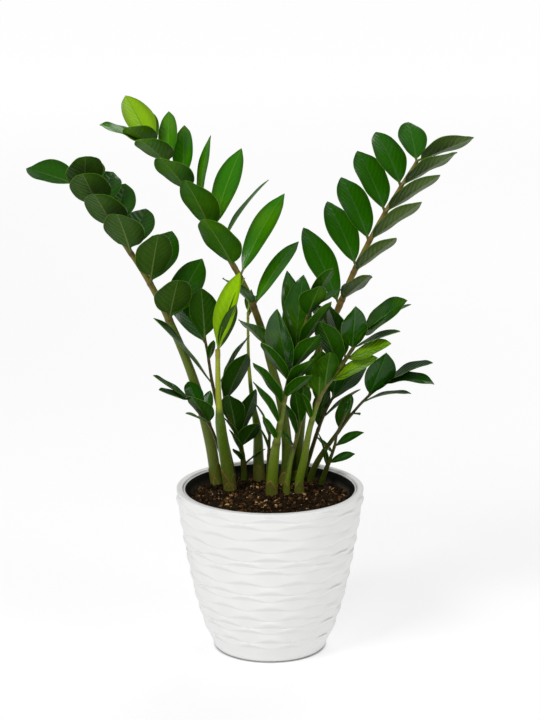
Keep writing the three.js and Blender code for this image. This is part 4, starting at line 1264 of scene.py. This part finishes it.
def ball(rows, turns):
    """Points and faces of a plain ball, to be squeezed into crumbs."""
    points = [(0, 0, -1.0)]
    for r in range(1, rows):
        out, up = math.sin(math.pi * r / rows), -math.cos(math.pi * r / rows)
        for t in range(turns):
            turn = 2 * math.pi * (t + 0.5 * (r % 2)) / turns
            points.append((out * math.cos(turn), out * math.sin(turn), up))
    points.append((0, 0, 1.0))
    top = len(points) - 1
    last = top - turns
    faces = []
    for t in range(turns):
        after = (t + 1) % turns
        faces += [(0, 1 + after, 1 + t), (top, last + t, last + after)]
        for low in range(1, last, turns):
            high = low + turns
            faces += [(low + t, low + after, high + after), (low + t, high + after, high + t)]
    return np.array(points), np.array(faces)


def scatter(name, count, seed, sizes, shape, materials, weights, patchy=0.0):
    """Crumbs strewn over the mix: squeezed, jagged balls, half sunk, one mesh with several finishes."""
    chance = random.Random(seed)
    base, base_faces = ball(4, 6)
    points, faces, slots = [], [], []
    while len(points) < count:
        reach = STREWN_RADIUS * math.sqrt(chance.random())
        turn = chance.uniform(0, 2 * math.pi)
        x, y = reach * math.cos(turn), reach * math.sin(turn)
        size = blend(*sizes, chance.random() ** MOSTLY_SMALL)
        grouped = noise.noise(Vector((x * CLUMPS, y * CLUMPS, seed)))
        if grouped < chance.uniform(-0.5, 0.5) * patchy - 0.5 * (1 - patchy):
            continue
        if any(math.hypot(x - fx, y - fy) < r + size * 0.4 for fx, fy, r in FEET):
            continue
        squeeze = np.array([size / 2 * f * chance.uniform(*CRUMB_SQUEEZE) for f in shape])
        jag = np.array([1 + chance.uniform(-CRUMB_JAG, CRUMB_JAG) for _ in base])
        lean = Matrix.Rotation(chance.uniform(0, 2 * math.pi), 3, "Z")
        for axis in "XY":
            lean = lean @ Matrix.Rotation(chance.gauss(0, CRUMB_LEAN), 3, axis)
        grown = (base * jag[:, None] * squeeze) @ np.array(lean).T
        place = np.array((x, y, mix_height(x, y) + squeeze[2] * chance.uniform(*CRUMB_PROUD)))
        faces.append(base_faces + len(points) * len(base))
        points.append(grown + place)
        slots += [chance.choices(range(len(materials)), weights)[0]] * len(base_faces)
    piece = new_piece(name, np.concatenate(points), np.concatenate(faces).tolist(), materials, slots)
    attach(piece, "root")


MOIST_PEAT = crumb_material("moist_peat", dark=(0.010, 0.006, 0.003, 1), light=(0.02, 0.011, 0.005, 1))
mix_body = make_mix(MOIST_PEAT)
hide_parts("potting_mix")
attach(mix_body, "root")

DARK_BARK = crumb_material("dark_bark", dark=(0.009, 0.005, 0.002, 1), light=(0.032, 0.017, 0.006, 1))
BROWN_BARK = crumb_material("brown_bark", dark=(0.05, 0.024, 0.008, 1), light=(0.17, 0.085, 0.028, 1))
TAN_CHIP = crumb_material("tan_chip", dark=(0.26, 0.13, 0.04, 1), light=(0.66, 0.42, 0.18, 1))
PERLITE = crumb_material("perlite", dark=(0.6, 0.56, 0.48, 1), light=(0.85, 0.83, 0.78, 1))
scatter(
    "mix_crumbs", count=3600, seed=5, sizes=(0.9, 5.0), shape=(1.15, 0.9, 0.8),
    materials=[DARK_BARK, BROWN_BARK], weights=[9, 2],
)
scatter(
    "mix_chips", count=720, seed=6, sizes=(0.9, 4.2), shape=(1.3, 0.8, 0.5),
    materials=[BROWN_BARK, TAN_CHIP], weights=[1, 3], patchy=0.8,
)
scatter(
    "mix_perlite", count=45, seed=7, sizes=(0.7, 1.8), shape=(1, 0.95, 0.8),
    materials=[PERLITE], weights=[1],
)
